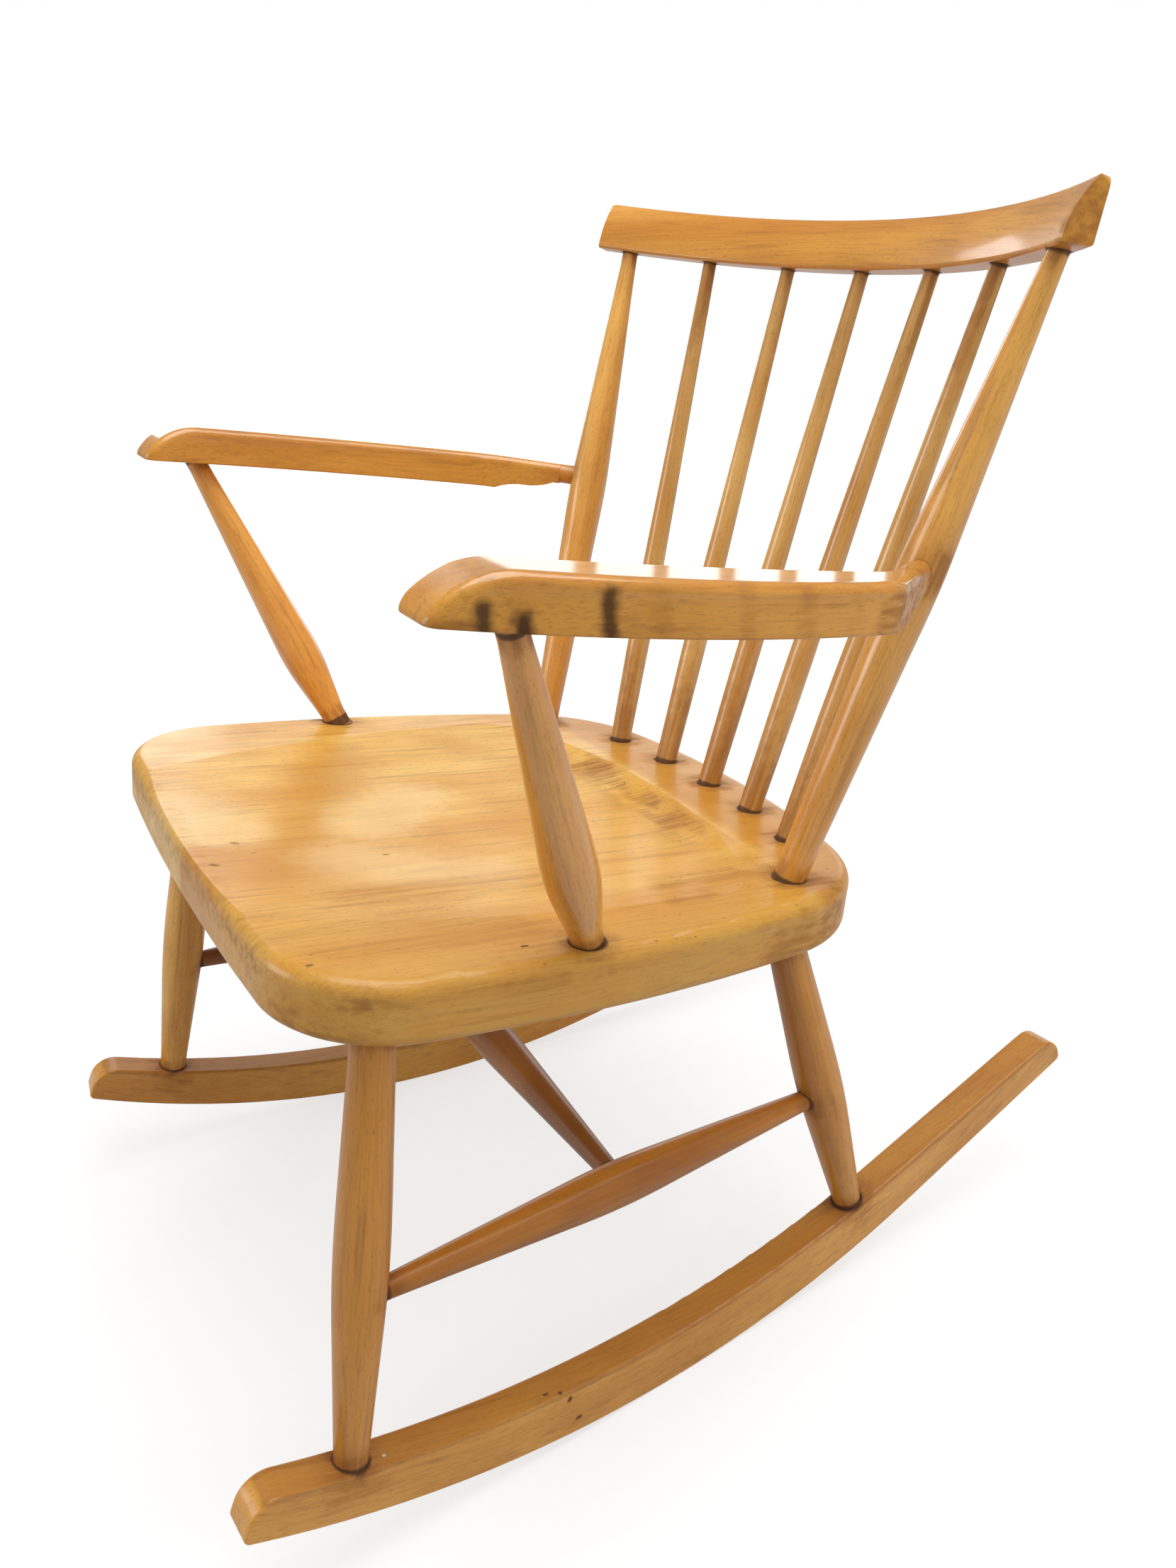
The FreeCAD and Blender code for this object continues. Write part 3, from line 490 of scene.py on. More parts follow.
def chair_joints():
    """Every round joint of the chair, from the pieces' own meshes."""
    pairs = []
    for side in SIDES:
        for leg in (f"front_leg_{side}", f"back_leg_{side}"):
            pairs += [(leg, "seat"), (leg, f"rocker_{side}"), (f"side_stretcher_{side}", leg)]
        pairs += [
            ("cross_stretcher", f"side_stretcher_{side}"),
            (f"arm_support_{side}", "seat"),
            (f"arm_support_{side}", f"arm_{side}"),
            (f"back_post_{side}", "seat"),
            (f"back_post_{side}", "crest_rail"),
        ]
    for spindle in SPINDLES:
        pairs += [(spindle, "seat"), (spindle, "crest_rail")]
    return [find_joint(piece, host, nearest_end(piece, host)) for piece, host in pairs]


JOINTS = chair_joints()


# What use has left on the pieces, besides the grime at the joints, with painted highlights on the seat's top
# and painted shade on the left arm's rear end
WEAR = {
    "seat": [
        Mark((0.2361, 0.0387, 0.3358), (0.2173, 0.1019, 0.3349), 0.002, 0.026, 0.45, "brown"),
        Mark((-0.19, -0.292, 0.405), (0.17, -0.292, 0.405), 0.0, 0.014, 0.5, "brown"),
        Mark((0.17, -0.292, 0.405), (0.2443, -0.2495, 0.3969), 0.0, 0.013, 0.6, "brown"),
        Mark((0.2443, -0.2495, 0.3969), (0.2538, -0.1305, 0.38), 0.0, 0.008, 0.4, "brown"),
        Mark((0.24, -0.27, 0.375), (0.2, -0.296, 0.378), 0.0, 0.03, 0.4, "brown"),
        Mark((-0.138, -0.13, 0.389), (-0.063, -0.192, 0.397), 0.008, 0.05, 0.45, "amber"),
        Mark((-0.063, -0.192, 0.397), (0.005, -0.215, 0.4), 0.008, 0.035, 0.45, "amber"),
        # Painted highlights: three pale glossy patches on the seat's top
        Mark((-0.05, -0.11, 0.385), (0.0, -0.16, 0.39), 0.012, 0.05, 0.35, "pale"),
        Mark((0.06, -0.2, 0.397), (0.11, -0.12, 0.39), 0.01, 0.05, 0.28, "pale"),
        Mark((-0.06, -0.275, 0.412), (-0.01, -0.26, 0.411), 0.015, 0.045, 0.3, "pale"),
        Mark((0.125, -0.22, 0.4), (0.135, -0.09, 0.386), 0.002, 0.03, 0.3, "brown"),
        Mark((0.16, -0.28, 0.41), (0.21, -0.14, 0.39), 0.01, 0.05, 0.22, "brown"),
        Mark((0.1679, 0.0454, 0.3631), (0.17, -0.01, 0.372), 0.002, 0.02, 0.4, "brown"),
        Mark((0.1967, 0.0974, 0.356), (0.21, 0.105, 0.355), 0.002, 0.02, 0.45, "brown"),
        Mark((0.195, 0.0067, 0.3697), (0.2, -0.02, 0.373), 0.001, 0.014, 0.35, "brown"),
        Mark((-0.0707, 0.0723, 0.3576), (-0.08, 0.05, 0.359), 0.004, 0.02, 0.45, "brown"),
        Mark((0.0135, -0.2625, 0.4085), (0.0145, -0.2605, 0.4085), 0.0005, 0.0035, 0.5),
        Mark((0.0491, -0.2849, 0.4129), (0.0505, -0.2829, 0.4129), 0.0005, 0.004, 0.6),
        Mark((0.0598, -0.171, 0.3931), (0.0598, -0.169, 0.3931), 0.0003, 0.0025, 0.6),
        Mark((0.2108, -0.2715, 0.4136), (0.2108, -0.2695, 0.4136), 0.0003, 0.0025, 0.7),
        Mark((0.2278, -0.1463, 0.3941), (0.2278, -0.1433, 0.3941), 0.0003, 0.002, 0.9),
    ],
    "arm_left": [
        Mark((0.3267, -0.1975, 0.6335), (0.3269, -0.1975, 0.624), 0.001, 0.008, 0.9),
        Mark((0.33, -0.1795, 0.6255), (0.3303, -0.1795, 0.619), 0.001, 0.008, 0.95),
        Mark((0.3345, -0.137, 0.632), (0.3357, -0.1375, 0.613), 0.001, 0.008, 0.9),
        Mark((0.3195, -0.2195, 0.6255), (0.3265, -0.2046, 0.6235), 0.001, 0.009, 0.6, "brown"),
        Mark((0.333, -0.11, 0.626), (0.334, -0.11, 0.612), 0.001, 0.012, 0.35, "brown"),
        Mark((0.335, -0.06, 0.625), (0.335, -0.06, 0.602), 0.001, 0.01, 0.3, "brown"),
        Mark((0.335, -0.02, 0.615), (0.335, -0.02, 0.597), 0.001, 0.011, 0.35, "brown"),
        Mark((0.333, 0.02, 0.605), (0.333, 0.02, 0.592), 0.001, 0.01, 0.3, "brown"),
        # Painted shade over the bright rear end face of the arm, where it meets its post
        Mark((0.27, 0.11, 0.583), (0.322, 0.05, 0.583), 0.012, 0.018, 0.5, "brown"),
    ],
    "rocker_left": [
        Mark((0.2419, -0.161, 0.0497), (0.2419, -0.159, 0.0497), 0.0003, 0.0022, 0.85),
        Mark((0.2448, -0.1504, 0.0482), (0.2448, -0.1514, 0.0462), 0.0003, 0.0024, 0.9),
        Mark((0.2466, -0.1447, 0.0393), (0.2466, -0.1437, 0.0413), 0.0003, 0.0028, 0.9),
        Mark((0.246, -0.1388, 0.0189), (0.246, -0.1368, 0.0189), 0.0003, 0.0028, 0.85),
        Mark((0.2514, -0.2795, 0.0754), (0.2514, -0.2789, 0.0754), 0.0004, 0.0016, 0.9, "pale"),
        Mark((0.262, -0.312, 0.075), (0.262, -0.29, 0.066), 0.002, 0.02, 0.4, "brown"),
    ],
    "crest_rail": [
        Mark((0.2803, 0.2233, 0.7875), (0.2745, 0.209, 0.7733), 0.006, 0.018, 0.5, "brown"),
    ],
}


def arm_end(side):
    """The place where an arm goes into its back post."""
    points = mesh_points(f"arm_{side}")
    rear = points[points[:, 1] > points[:, 1].max() - END_FACE]
    return Vector(rear.mean(axis=0))


def joint_marks(node, wood):
    """The grime at each joint of a node, whether it goes into another piece or takes one in:
    a dark ring in the corner and a faint stain that spreads from it. A spindle also gets painted shade,
    browner towards both of its ends, and an arm and its post get painted shade with grime where they meet.
    The node's wear follows."""
    marks = []
    for joint in JOINTS:
        place, radius = joint.place, joint.radius
        if node == joint.piece:
            ring = math.hypot(radius, wood.joint_reach)
            stain = math.hypot(radius, wood.stain_reach)
        elif node == joint.host:
            ring = radius + wood.joint_reach
            stain = radius + wood.stain_reach
        else:
            continue
        marks.append(Mark(place, place, radius, ring, wood.joint_strength))
        # Painted shade: a spindle is browner for a long way from each end
        if node in SPINDLES:
            marks.append(Mark(place, place, radius, wood.foot_shade, wood.stain_strength, "brown"))
        if node != "crest_rail":
            marks.append(Mark(place, place, radius, stain, wood.stain_strength, "brown"))
    # Painted shade with grime where each arm meets its post, which also tones down the arm's bright end
    for side in SIDES:
        if node in (f"arm_{side}", f"back_post_{side}"):
            place = arm_end(side)
            marks.append(Mark(place, place, wood.arm_shade_and_grime, wood.arm_shade_and_grime * 2, wood.stain_strength, "brown"))
    return marks + WEAR.get(node, [])


# Settings

def colour_setting(name, description, value):
    return FloatVectorProperty(name=name, description=description, default=value, size=3, subtype="COLOR",
                               min=0.0, max=1.0)


def length_setting(name, description, value):
    return FloatProperty(name=name, description=description, default=value, min=0.0, unit="LENGTH",
                         subtype="DISTANCE")


def share_setting(name, description, value):
    return FloatProperty(name=name, description=description, default=value, min=0.0, max=1.0,
                         subtype="FACTOR")


def power_setting(name, description, value):
    return FloatProperty(name=name, description=description, default=value, min=0.0, unit="POWER")


# For each kind of piece, the light and the deep colour of the bands in its grain
BANDS = {
    "plain": ("the arms and the crest rail", (230, 163, 62), (210, 137, 43)),
    # The seat's paler colours are partly the boards' own tone and partly painted light, for the bright light
    # on the seat's top
    "seat": ("the seat's boards", (244, 197, 98), (234, 174, 68)),
    "leg": ("the other legs", (216, 148, 58), (186, 116, 40)),
    "stretcher": ("the left stretcher", (198, 126, 44), (158, 92, 30)),
    # Painted shade: the cross stretcher and the right one are the same wood as the left, darker here for the
    # seat's shade over them
    "under": ("the cross stretcher and the right one", (158, 98, 38), (122, 70, 25)),
    # Painted light: the right front leg takes the paler post colours, for the light that falls on it from the
    # front left
    "post": ("the back posts and the right front leg", (250, 188, 90), (226, 156, 60)),
    "support": ("the arm supports", (244, 174, 78), (224, 146, 54)),
    "spindle": ("the spindles", (232, 184, 104), (206, 148, 70)),
    "rocker": ("the rockers", (238, 174, 76), (220, 148, 55)),
}


def band_settings():
    """Two colour settings for each kind of piece."""
    settings = {}
    for kind, (pieces, *colours) in BANDS.items():
        for shade, word, colour in zip(("light", "deep"), ("palest", "darker"), colours):
            title = f"{kind.capitalize()} {shade}"
            words = f"The {word} bands of {pieces}"
            settings[f"{kind}_{shade}"] = colour_setting(title, words, tone(*colour))
    return settings


class WoodSettings(bpy.types.PropertyGroup):
    """The lacquered beech that all the pieces are made of."""

    amber: colour_setting("Amber lacquer", "Where the lacquer lies thick", tone(202, 133, 40))
    # Brown also colours the stains and the wear, and the painted shade at the spindles' ends and where the
    # arms meet their posts
    brown: colour_setting("Brown flecks", "The fibres and the short rays of beech", tone(140, 80, 27))
    # Pale also paints the highlights on the seat's top and along its ridge
    pale: colour_setting("Pale", "Bare wood where the lacquer has worn off", tone(252, 226, 170))
    grime: colour_setting("Grime", "Dirt and old lacquer in the corners", tone(72, 42, 18))
    streak_strength: share_setting("Streak strength", "How much the long dark streaks show", 0.3)
    fibre_strength: share_setting("Fibre strength", "How much the fine fibres show", 0.3)
    fleck_strength: share_setting("Fleck strength", "How much the short flecks show", 0.3)
    top_shade: share_setting("Top shade", "How much browner the rockers are on top", 0.45)
    roughness: share_setting("Roughness", "The roughness of the lacquer's body", 0.36)
    coat: share_setting("Coat", "How much of a clear top coat there is", 0.25)
    seat_coat: share_setting("Seat coat", "The same on the seat, where it has worn thin", 0.12)
    back_coat: share_setting("Back coat", "The same on the posts, the spindles and the supports", 0.85)
    crest_coat: share_setting("Crest coat", "The same on the crest rail", 0.5)
    arm_coat: share_setting("Arm coat", "The same on top of the arms, which hands have polished", 1.0)
    dirt_roughness: share_setting("Dirt roughness", "How much dirt adds to the roughness", 0.5)
    least_stain: share_setting("Least stain", "How much of a stain shows between the streaks", 0.35)
    coat_roughness: share_setting("Coat roughness", "How dull the clear top coat is", 0.12)
    ripple_share: share_setting("Ripple share", "How much of the relief is the lacquer's ripple", 0.85)
    relief: length_setting("Relief", "The depth of the lacquer's ripple and the fibres", 0.00014)
    # Painted shade with grime where an arm meets its post
    arm_shade_and_grime: length_setting("Arm grime", "How far the grime where an arm meets its post is full", 0.012)
    joint_reach: length_setting("Joint grime reach", "How far the dark ring round a joint reaches", 0.003)
    joint_strength: share_setting("Joint grime strength", "How dark the ring round a joint is", 0.85)
    stain_reach: length_setting("Joint stain reach", "How far the faint stain round a joint reaches", 0.018)
    # Painted shade: how far a spindle is browner from each end
    foot_shade: length_setting("Foot shade", "How far a spindle is browner from its ends", 0.13)
    stain_strength: share_setting("Joint stain strength", "How dark the faint stain round a joint is", 0.6)

    def bands(self, kind):
        """The light and the deep colour of the bands in one kind of piece."""
        return getattr(self, f"{kind}_light"), getattr(self, f"{kind}_deep")


WoodSettings.__annotations__.update(band_settings())


class BeadSettings(bpy.types.PropertyGroup):
    """The thin line of old lacquer that has dried round every joint."""

    radius: length_setting("Bead radius", "Half the thickness of the line", 0.00045)
    clearance: length_setting("Clearance", "How far the line stands off the round piece", 0.0001)
    segments: IntProperty(name="Segments", description="Points round each line", default=40, min=12)
    sides: IntProperty(name="Sides", description="Points round the line's own section", default=6, min=4)
    seed: IntProperty(name="Seed", description="Fixes the random thickness", default=7)
    colour: colour_setting("Colour", "The colour of the dried lacquer", tone(86, 50, 20))


class StageSettings(bpy.types.PropertyGroup):
    """The floor and the light."""

    floor_radius: length_setting("Floor radius", "Half the width of the floor", 9.0)
    sky_strength: share_setting("Sky strength", "Even light from all round", 0.34)
    mirror_sky: share_setting("Mirrored sky", "How bright the sky is in the lacquer", 0.3)
    mirror_floor: share_setting("Mirrored floor", "How bright the floor is in the lacquer", 0.3)
    key_power: power_setting("Key light", "Power of the large lamp above", 44)
    side_power: power_setting("Side light", "Power of the lamp on the sitter's left", 28)
    front_power: power_setting("Front light", "Power of the lamp in front, which the posts mirror", 24)
    window_power: power_setting("Window light", "Power of the low wide lamp that the arms mirror", 27)
    gleam_power: power_setting("Gleam light", "Power of the lamp that the crest mirrors", 9)
    floor_white: share_setting("Floor white", "The floor's own brightness for the camera", 0.66)
    fade_start: length_setting("Fade start", "Where the floor starts to fade to white", 0.6)
    fade_end: length_setting("Fade end", "Where the floor is all white", 1.6)
    floor_grey: share_setting("Floor grey", "How much light the floor gives back", 0.42)


# Pieces

# How steeply the seat falls to the rear
SEAT_SLOPE = 0.1565

# Where each new board starts and how much more amber it is, and how far its edge blends to both sides
BOARD_EDGES = ((0.015, 0.25), (0.17, 0.3))
BOARD_BLEND = 0.0012

# The amber zone at the front edge of the middle board
FRONT_FADE = (-0.16, -0.27)
FRONT_SIDES = ((0.0125, 0.0145), (0.07, 0.13))
FRONT_AMBER = 0.6

# The bent line where the dish ends in front of the spindles, and the ledge behind it.
# The fades along Y are measured from this line to the rear
RIDGE_Y = 0.0895
RIDGE_BEND = 0.25
# The ridge's pale line is a painted highlight: its half width, the span across where it shows, and its
# strength
RIDGE_WIDTH = 0.004
RIDGE_SIDES = ((-0.12, -0.06), (0.1, 0.16))
RIDGE_HIGHLIGHT = 0.16
# The ledge's darker amber is a painted dark reflection of the spindles: where it fades in, and its strength
LEDGE_FADE = (0.0, 0.012)
LEDGE_DARK_REFLECTION = 0.6

# The band in front of the ridge where the lacquer is scraped
SCRAPE_DEPTH = ((-0.06, -0.03), (-0.012, -0.002))
SCRAPE_SIDES = ((-0.13, -0.07), (0.06, 0.13))
SCRAPE_SCALE = (420, 22, 0)
SCRAPE_RANGE = (0.42, 0.6)
SCRAPE_STRENGTH = (0.2, 0.6)
PATCH_SCALE = (22, 40, 0)
PATCH_RANGE = (0.4, 0.55)

DENT_SCALE = (480, 200, 200)
DENT_RANGE = (0.81, 0.85)
DENT_STRENGTH = 0.5


def seat_tint(wood):
    """Colours the seat's boards, its scraped band and its dents, and paints a highlight on its ridge and a
    dark reflection of the spindles on the ledge behind it.
    """

    def tint(tree, coordinates, colour):
        x, y, _ = tree.split(coordinates)
        for edge, shade in BOARD_EDGES:
            darker = tree.step(x, edge - BOARD_BLEND, edge + BOARD_BLEND, 0.0, shade)
            colour = tree.mix(darker, colour, wood.amber)
        front = tree.step(y, *FRONT_FADE) * tree.between(x, *FRONT_SIDES)
        colour = tree.mix(front * FRONT_AMBER, colour, wood.amber)

        behind = y + x * x * RIDGE_BEND - RIDGE_Y
        scrapes = tree.noise(coordinates, SCRAPE_SCALE)
        patches = tree.noise(coordinates, PATCH_SCALE, detail=1.0)
        band = tree.between(behind, *SCRAPE_DEPTH) * tree.between(x, *SCRAPE_SIDES)
        band = band * tree.step(patches, *PATCH_RANGE)
        scraped = band * tree.step(scrapes, *SCRAPE_RANGE, *SCRAPE_STRENGTH)
        colour = tree.mix(scraped, colour, wood.brown)

        # Painted dark reflection of the spindles on the ledge behind the ridge
        colour = tree.mix(tree.step(behind, *LEDGE_FADE, 0.0, LEDGE_DARK_REFLECTION), colour, wood.amber)
        # Painted highlight: a pale line along the ridge
        ridge = tree.step(tree.maths("ABSOLUTE", behind), 0.0, RIDGE_WIDTH, RIDGE_HIGHLIGHT, 0.0)
        colour = tree.mix(ridge * tree.between(x, *RIDGE_SIDES), colour, wood.pale)
        dents = tree.noise(coordinates, DENT_SCALE, detail=0.0)
        return tree.mix(tree.step(dents, *DENT_RANGE, 0.0, DENT_STRENGTH), colour, wood.grime)

    return tint


class DressSeat(bpy.types.Operator):
    """Finishes the seat: three glued boards with their grain running from front to rear"""

    bl_idname = "rocking_chair.seat"
    bl_label = "Seat"

    def execute(self, context):
        wood = context.scene.rocking_wood
        low, high = (Vector(corner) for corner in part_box("seat"))
        slope = math.atan(SEAT_SLOPE)
        across = Vector((1, 0, 0))
        along = Vector((0, -math.cos(slope), math.sin(slope)))
        turn = Matrix((across, along.cross(across), along)).transposed()
        place = Place((low + high) / 2, turn)
        finish_node("seat", place, wood, seed=1, kind="seat", tint=seat_tint(wood),
                    coat=even_coat(wood.seat_coat))
        return {"FINISHED"}


def dress_straight(nodes, wood, first_seed, kind="plain", coat=None):
    """Finishes straight pieces, each with its grain along its own axis."""
    for seed, node in enumerate(nodes, first_seed):
        finish_node(node, straight_place(node), wood, seed, kind, coat=coat)


def both_sides(name):
    return [f"{name}_{side}" for side in SIDES]


class DressLegs(bpy.types.Operator):
    """Finishes the legs and the stretchers, with the grain along each of them"""

    bl_idname = "rocking_chair.legs"
    bl_label = "Legs and Stretchers"

    def execute(self, context):
        wood = context.scene.rocking_wood
        dress_straight(["front_leg_left", *both_sides("back_leg")], wood, first_seed=10, kind="leg")
        # Painted light: the right front leg is paler than the other legs, for the light from the front left
        dress_straight(["front_leg_right"], wood, first_seed=13, kind="post")
        dress_straight(["side_stretcher_left"], wood, first_seed=14, kind="stretcher")
        # Painted shade: these two take the darker under colours for the seat's shade over them
        dress_straight(["side_stretcher_right", "cross_stretcher"], wood, first_seed=15, kind="under")
        return {"FINISHED"}


# How steeply a rocker's face looks up to count as its top, the power of the curve through the top
# and how often it is fitted, each time without the sockets' floors that lie so far below it
TOP_FACING = 0.8
TOP_POWER = 4
FITS = 3
SOCKET_DROP = 0.004

# Where the brown sets in, measured up from the top
TOP_FADE = (-0.004, -0.001)


def top_curve(node):
    """The height of a rocker's top face by its distance to the rear, as the factors of a polynomial."""
    mesh = frame["nodes"][node].data
    top = [face for face in mesh.polygons if face.normal.z > TOP_FACING]
    points = np.array([mesh.vertices[number].co for face in top for number in face.vertices])
    for _ in range(FITS):
        factors = np.polyfit(points[:, 1], points[:, 2], TOP_POWER)
        points = points[points[:, 2] > np.polyval(factors, points[:, 1]) - SOCKET_DROP]
    return [float(factor) for factor in factors]


def rocker_tint(node, wood):
    """Makes a rocker browner on top."""
    first, *others = top_curve(node)

    def tint(tree, coordinates, colour):
        _, y, z = tree.split(coordinates)
        height = first
        for factor in others:
            height = y * height + factor
        return tree.mix(tree.step(z - height, *TOP_FADE, 0.0, wood.top_shade), colour, wood.brown)

    return tint


class DressRockers(bpy.types.Operator):
    """Finishes the rockers, whose grain follows their bend"""

    bl_idname = "rocking_chair.rockers"
    bl_label = "Rockers"

    def execute(self, context):
        wood = context.scene.rocking_wood
        for seed, node in enumerate(both_sides("rocker"), start=20):
            finish_node(node, bent_place(node, X_AXIS), wood, seed, "rocker", rocker_tint(node, wood))
        return {"FINISHED"}


# The fall of the arms' top to the rear, its height at the middle of the chair and its rounding
ARM_SLOPE = 0.175
ARM_TOP = 0.609
ARM_ROUND = 0.006


def arm_polish(wood):
    """A top coat that hands have polished on top of the arms, and the common one below."""

    def coat(tree, coordinates):
        _, y, z = tree.split(coordinates)
        return tree.step(z + y * ARM_SLOPE, ARM_TOP - ARM_ROUND, ARM_TOP, wood.coat, wood.arm_coat)

    return coat


class DressArms(bpy.types.Operator):
    """Finishes the arms and the supports under them"""

    bl_idname = "rocking_chair.arms"
    bl_label = "Arms"

    def execute(self, context):
        wood = context.scene.rocking_wood
        dress_straight(both_sides("arm"), wood, first_seed=30, coat=arm_polish(wood))
        coat = even_coat(wood.back_coat)
        dress_straight(both_sides("arm_support"), wood, first_seed=32, kind="support", coat=coat)
        return {"FINISHED"}


class DressBack(bpy.types.Operator):
    """Finishes the back: two posts, the spindles between them and the bent crest rail"""

    bl_idname = "rocking_chair.back"
    bl_label = "Back"

    def execute(self, context):
        wood = context.scene.rocking_wood
        coat = even_coat(wood.back_coat)
        dress_straight(both_sides("back_post"), wood, first_seed=40, kind="post", coat=coat)
        dress_straight(SPINDLES, wood, first_seed=42, kind="spindle", coat=coat)
        place = bent_place("crest_rail", Z_AXIS)
        finish_node("crest_rail", place, wood, seed=50, coat=even_coat(wood.crest_coat))
        return {"FINISHED"}


# Lacquer beads

BEAD_INPUTS = {
    "Host": "Object",
    "Bead Radius": "Float",
    "Clearance": "Float",
    "Reach": "Float",
    "Segments": "Int",
    "Sides": "Int",
    "Seed": "Int",
}
THINNEST, THICKEST = 0.7, 1.3
BLOTCH_SCALE = 220.0
BLOTCH_RANGE = (0.35, 0.65)
BLOTCH_DARK = 0.5
BEAD_ROUGHNESS = (0.3, 0.55)


def bead_material(settings):
    """Old lacquer in dark blotches."""
    material, tree = new_material("joint_lacquer")
    blotches = tree.noise(tree.node("ShaderNodeTexCoord", output="Object"), BLOTCH_SCALE)
    dark = tuple(channel * BLOTCH_DARK for channel in settings.colour)
    surface = tree.node("ShaderNodeBsdfPrincipled", None, {
        "Base Color": tree.mix(tree.step(blotches, *BLOTCH_RANGE), settings.colour, dark),
        "Roughness": tree.step(blotches, *ROUGH_RANGE, *BEAD_ROUGHNESS),
    })
    tree.node("ShaderNodeOutputMaterial", None, {"Surface": surface})
    return material


def bead_tree(material):
    """Geometry nodes that lay a ring on the host's surface round each joint.
    Each point of the input carries the joint's outward direction and radius."""
    group = bpy.data.node_groups.new("Lacquer beads", "GeometryNodeTree")
    face = group.interface
    face.new_socket("Geometry", in_out="INPUT", socket_type="NodeSocketGeometry")
    for name, kind in BEAD_INPUTS.items():
        face.new_socket(name, in_out="INPUT", socket_type=f"NodeSocket{kind}")
    face.new_socket("Geometry", in_out="OUTPUT", socket_type="NodeSocketGeometry")
    tree = Tree(group)
    names = ("Geometry", *BEAD_INPUTS)
    take = dict(zip(names, tree.fields("NodeGroupInput", names)))

    def carried(name, kind):
        return tree.node("GeometryNodeInputNamedAttribute", {"data_type": kind}, {"Name": name})

    outward = carried("outward", "FLOAT_VECTOR")
    ring = tree.node("GeometryNodeCurvePrimitiveCircle", None,
                     {"Resolution": take["Segments"], "Radius": 1.0})
    turned = tree.node("FunctionNodeAlignRotationToVector", {"axis": "Z"}, {"Vector": outward})
    size = carried("round", "FLOAT") + take["Clearance"]
    rings = tree.node("GeometryNodeInstanceOnPoints", None, {
        "Points": take["Geometry"], "Instance": ring, "Rotation": turned, "Scale": size,
    })
    real = tree.node("GeometryNodeRealizeInstances", None, {"Geometry": rings})
    position = tree.node("GeometryNodeInputPosition")
    hit, landed = tree.fields("GeometryNodeRaycast", ("Is Hit", "Hit Position"), {
        "Target Geometry": tree.node("GeometryNodeObjectInfo", None, {"Object": take["Host"]}, "Geometry"),
        "Source Position": tree.vector("ADD", position, tree.scaled(outward, take["Reach"])),
        "Ray Direction": tree.scaled(outward, -1.0),
        "Ray Length": take["Reach"] * 2.0,
    })
    laid = tree.node("GeometryNodeSetPosition", None,
                     {"Geometry": real, "Selection": hit, "Position": landed})
    spread = {2: THINNEST, 3: THICKEST, "Seed": take["Seed"]}
    thickness = tree.node("FunctionNodeRandomValue", {"data_type": "FLOAT"}, spread, 1)
    uneven = tree.node("GeometryNodeSetCurveRadius", None, {"Curve": laid, "Radius": thickness})
    section = tree.node("GeometryNodeCurvePrimitiveCircle", None,
                        {"Resolution": take["Sides"], "Radius": take["Bead Radius"]})
    beads = tree.node("GeometryNodeCurveToMesh", None,
                      {"Curve": uneven, "Profile Curve": section, "Scale": thickness})
    smooth = tree.node("GeometryNodeSetShadeSmooth", None, {"Geometry": beads})
    solid = tree.node("GeometryNodeRealizeInstances", None, {"Geometry": smooth})
    painted = tree.node("GeometryNodeSetMaterial", None, {"Geometry": solid, "Material": material})
    tree.node("NodeGroupOutput", None, {"Geometry": painted})
    return group


def joint_points(joints):
    """A mesh with one point for each joint, which carries its direction and radius."""
    mesh = bpy.data.meshes.new("joint_points")
    mesh.from_pydata([joint.place for joint in joints], [], [])
    outward = mesh.attributes.new("outward", "FLOAT_VECTOR", "POINT")
    outward.data.foreach_set("vector", [value for joint in joints for value in joint.outward])
    radius = mesh.attributes.new("round", "FLOAT", "POINT")
    radius.data.foreach_set("value", [joint.radius for joint in joints])
    return mesh


def laid_beads(context, host, group, settings):
    """The rings round all the joints of one host, as a mesh."""
    joints = [joint for joint in JOINTS if joint.host == host]
    carrier = bpy.data.objects.new("joint_points", joint_points(joints))
    context.scene.collection.objects.link(carrier)
    modifier = carrier.modifiers.new(group.name, "NODES")
    modifier.node_group = group
    values = {
        "Host": frame["nodes"][host],
        "Bead Radius": settings.radius,
        "Clearance": settings.clearance,
        "Reach": RAY_REACH / 2,
        "Segments": settings.segments,
        "Sides": settings.sides,
        "Seed": settings.seed,
    }
    for item in group.interface.items_tree:
        if item.name in values:
            modifier[item.identifier] = values[item.name]
    evaluated = carrier.evaluated_get(context.evaluated_depsgraph_get())
    mesh = bpy.data.meshes.new_from_object(evaluated)
    bpy.data.objects.remove(carrier)
    return mesh


class AddBeads(bpy.types.Operator):
    """Lays the thin dark line of old lacquer round every joint"""

    bl_idname = "rocking_chair.beads"
    bl_label = "Joint Lacquer"

    def execute(self, context):
        settings = context.scene.rocking_beads
        material = bead_material(settings)
        group = bead_tree(material)
        whole = bmesh.new()
        for host in sorted({joint.host for joint in JOINTS}):
            whole.from_mesh(laid_beads(context, host, group, settings))
        bmesh.ops.recalc_face_normals(whole, faces=whole.faces)
        mesh = bpy.data.meshes.new("joint_lacquer")
        whole.to_mesh(mesh)
        whole.free()
        mesh.materials.append(material)
        beads = bpy.data.objects.new("joint_lacquer", mesh)
        context.scene.collection.objects.link(beads)
        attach(beads, BODY)
        return {"FINISHED"}


# Stage

PICTURE_WIDTH = 1659
PICTURE_HEIGHT = 2212
FOCAL_PIXELS = 1849.4
VIEW_CENTRE = (832.9, 1101.6)
CAMERA_PLACE = Vector((0.8551, -0.4265, 0.7924))
CAMERA_AZIMUTH = math.radians(62.13)
CAMERA_HEIGHT = math.radians(23.11)
CAMERA_ROLL = math.radians(-2.75)
SENSOR_WIDTH = 36.0

CHAIR_MIDDLE = (0, 0, 0.4)
CREST_LEFT = (0.2, 0.25, 0.78)

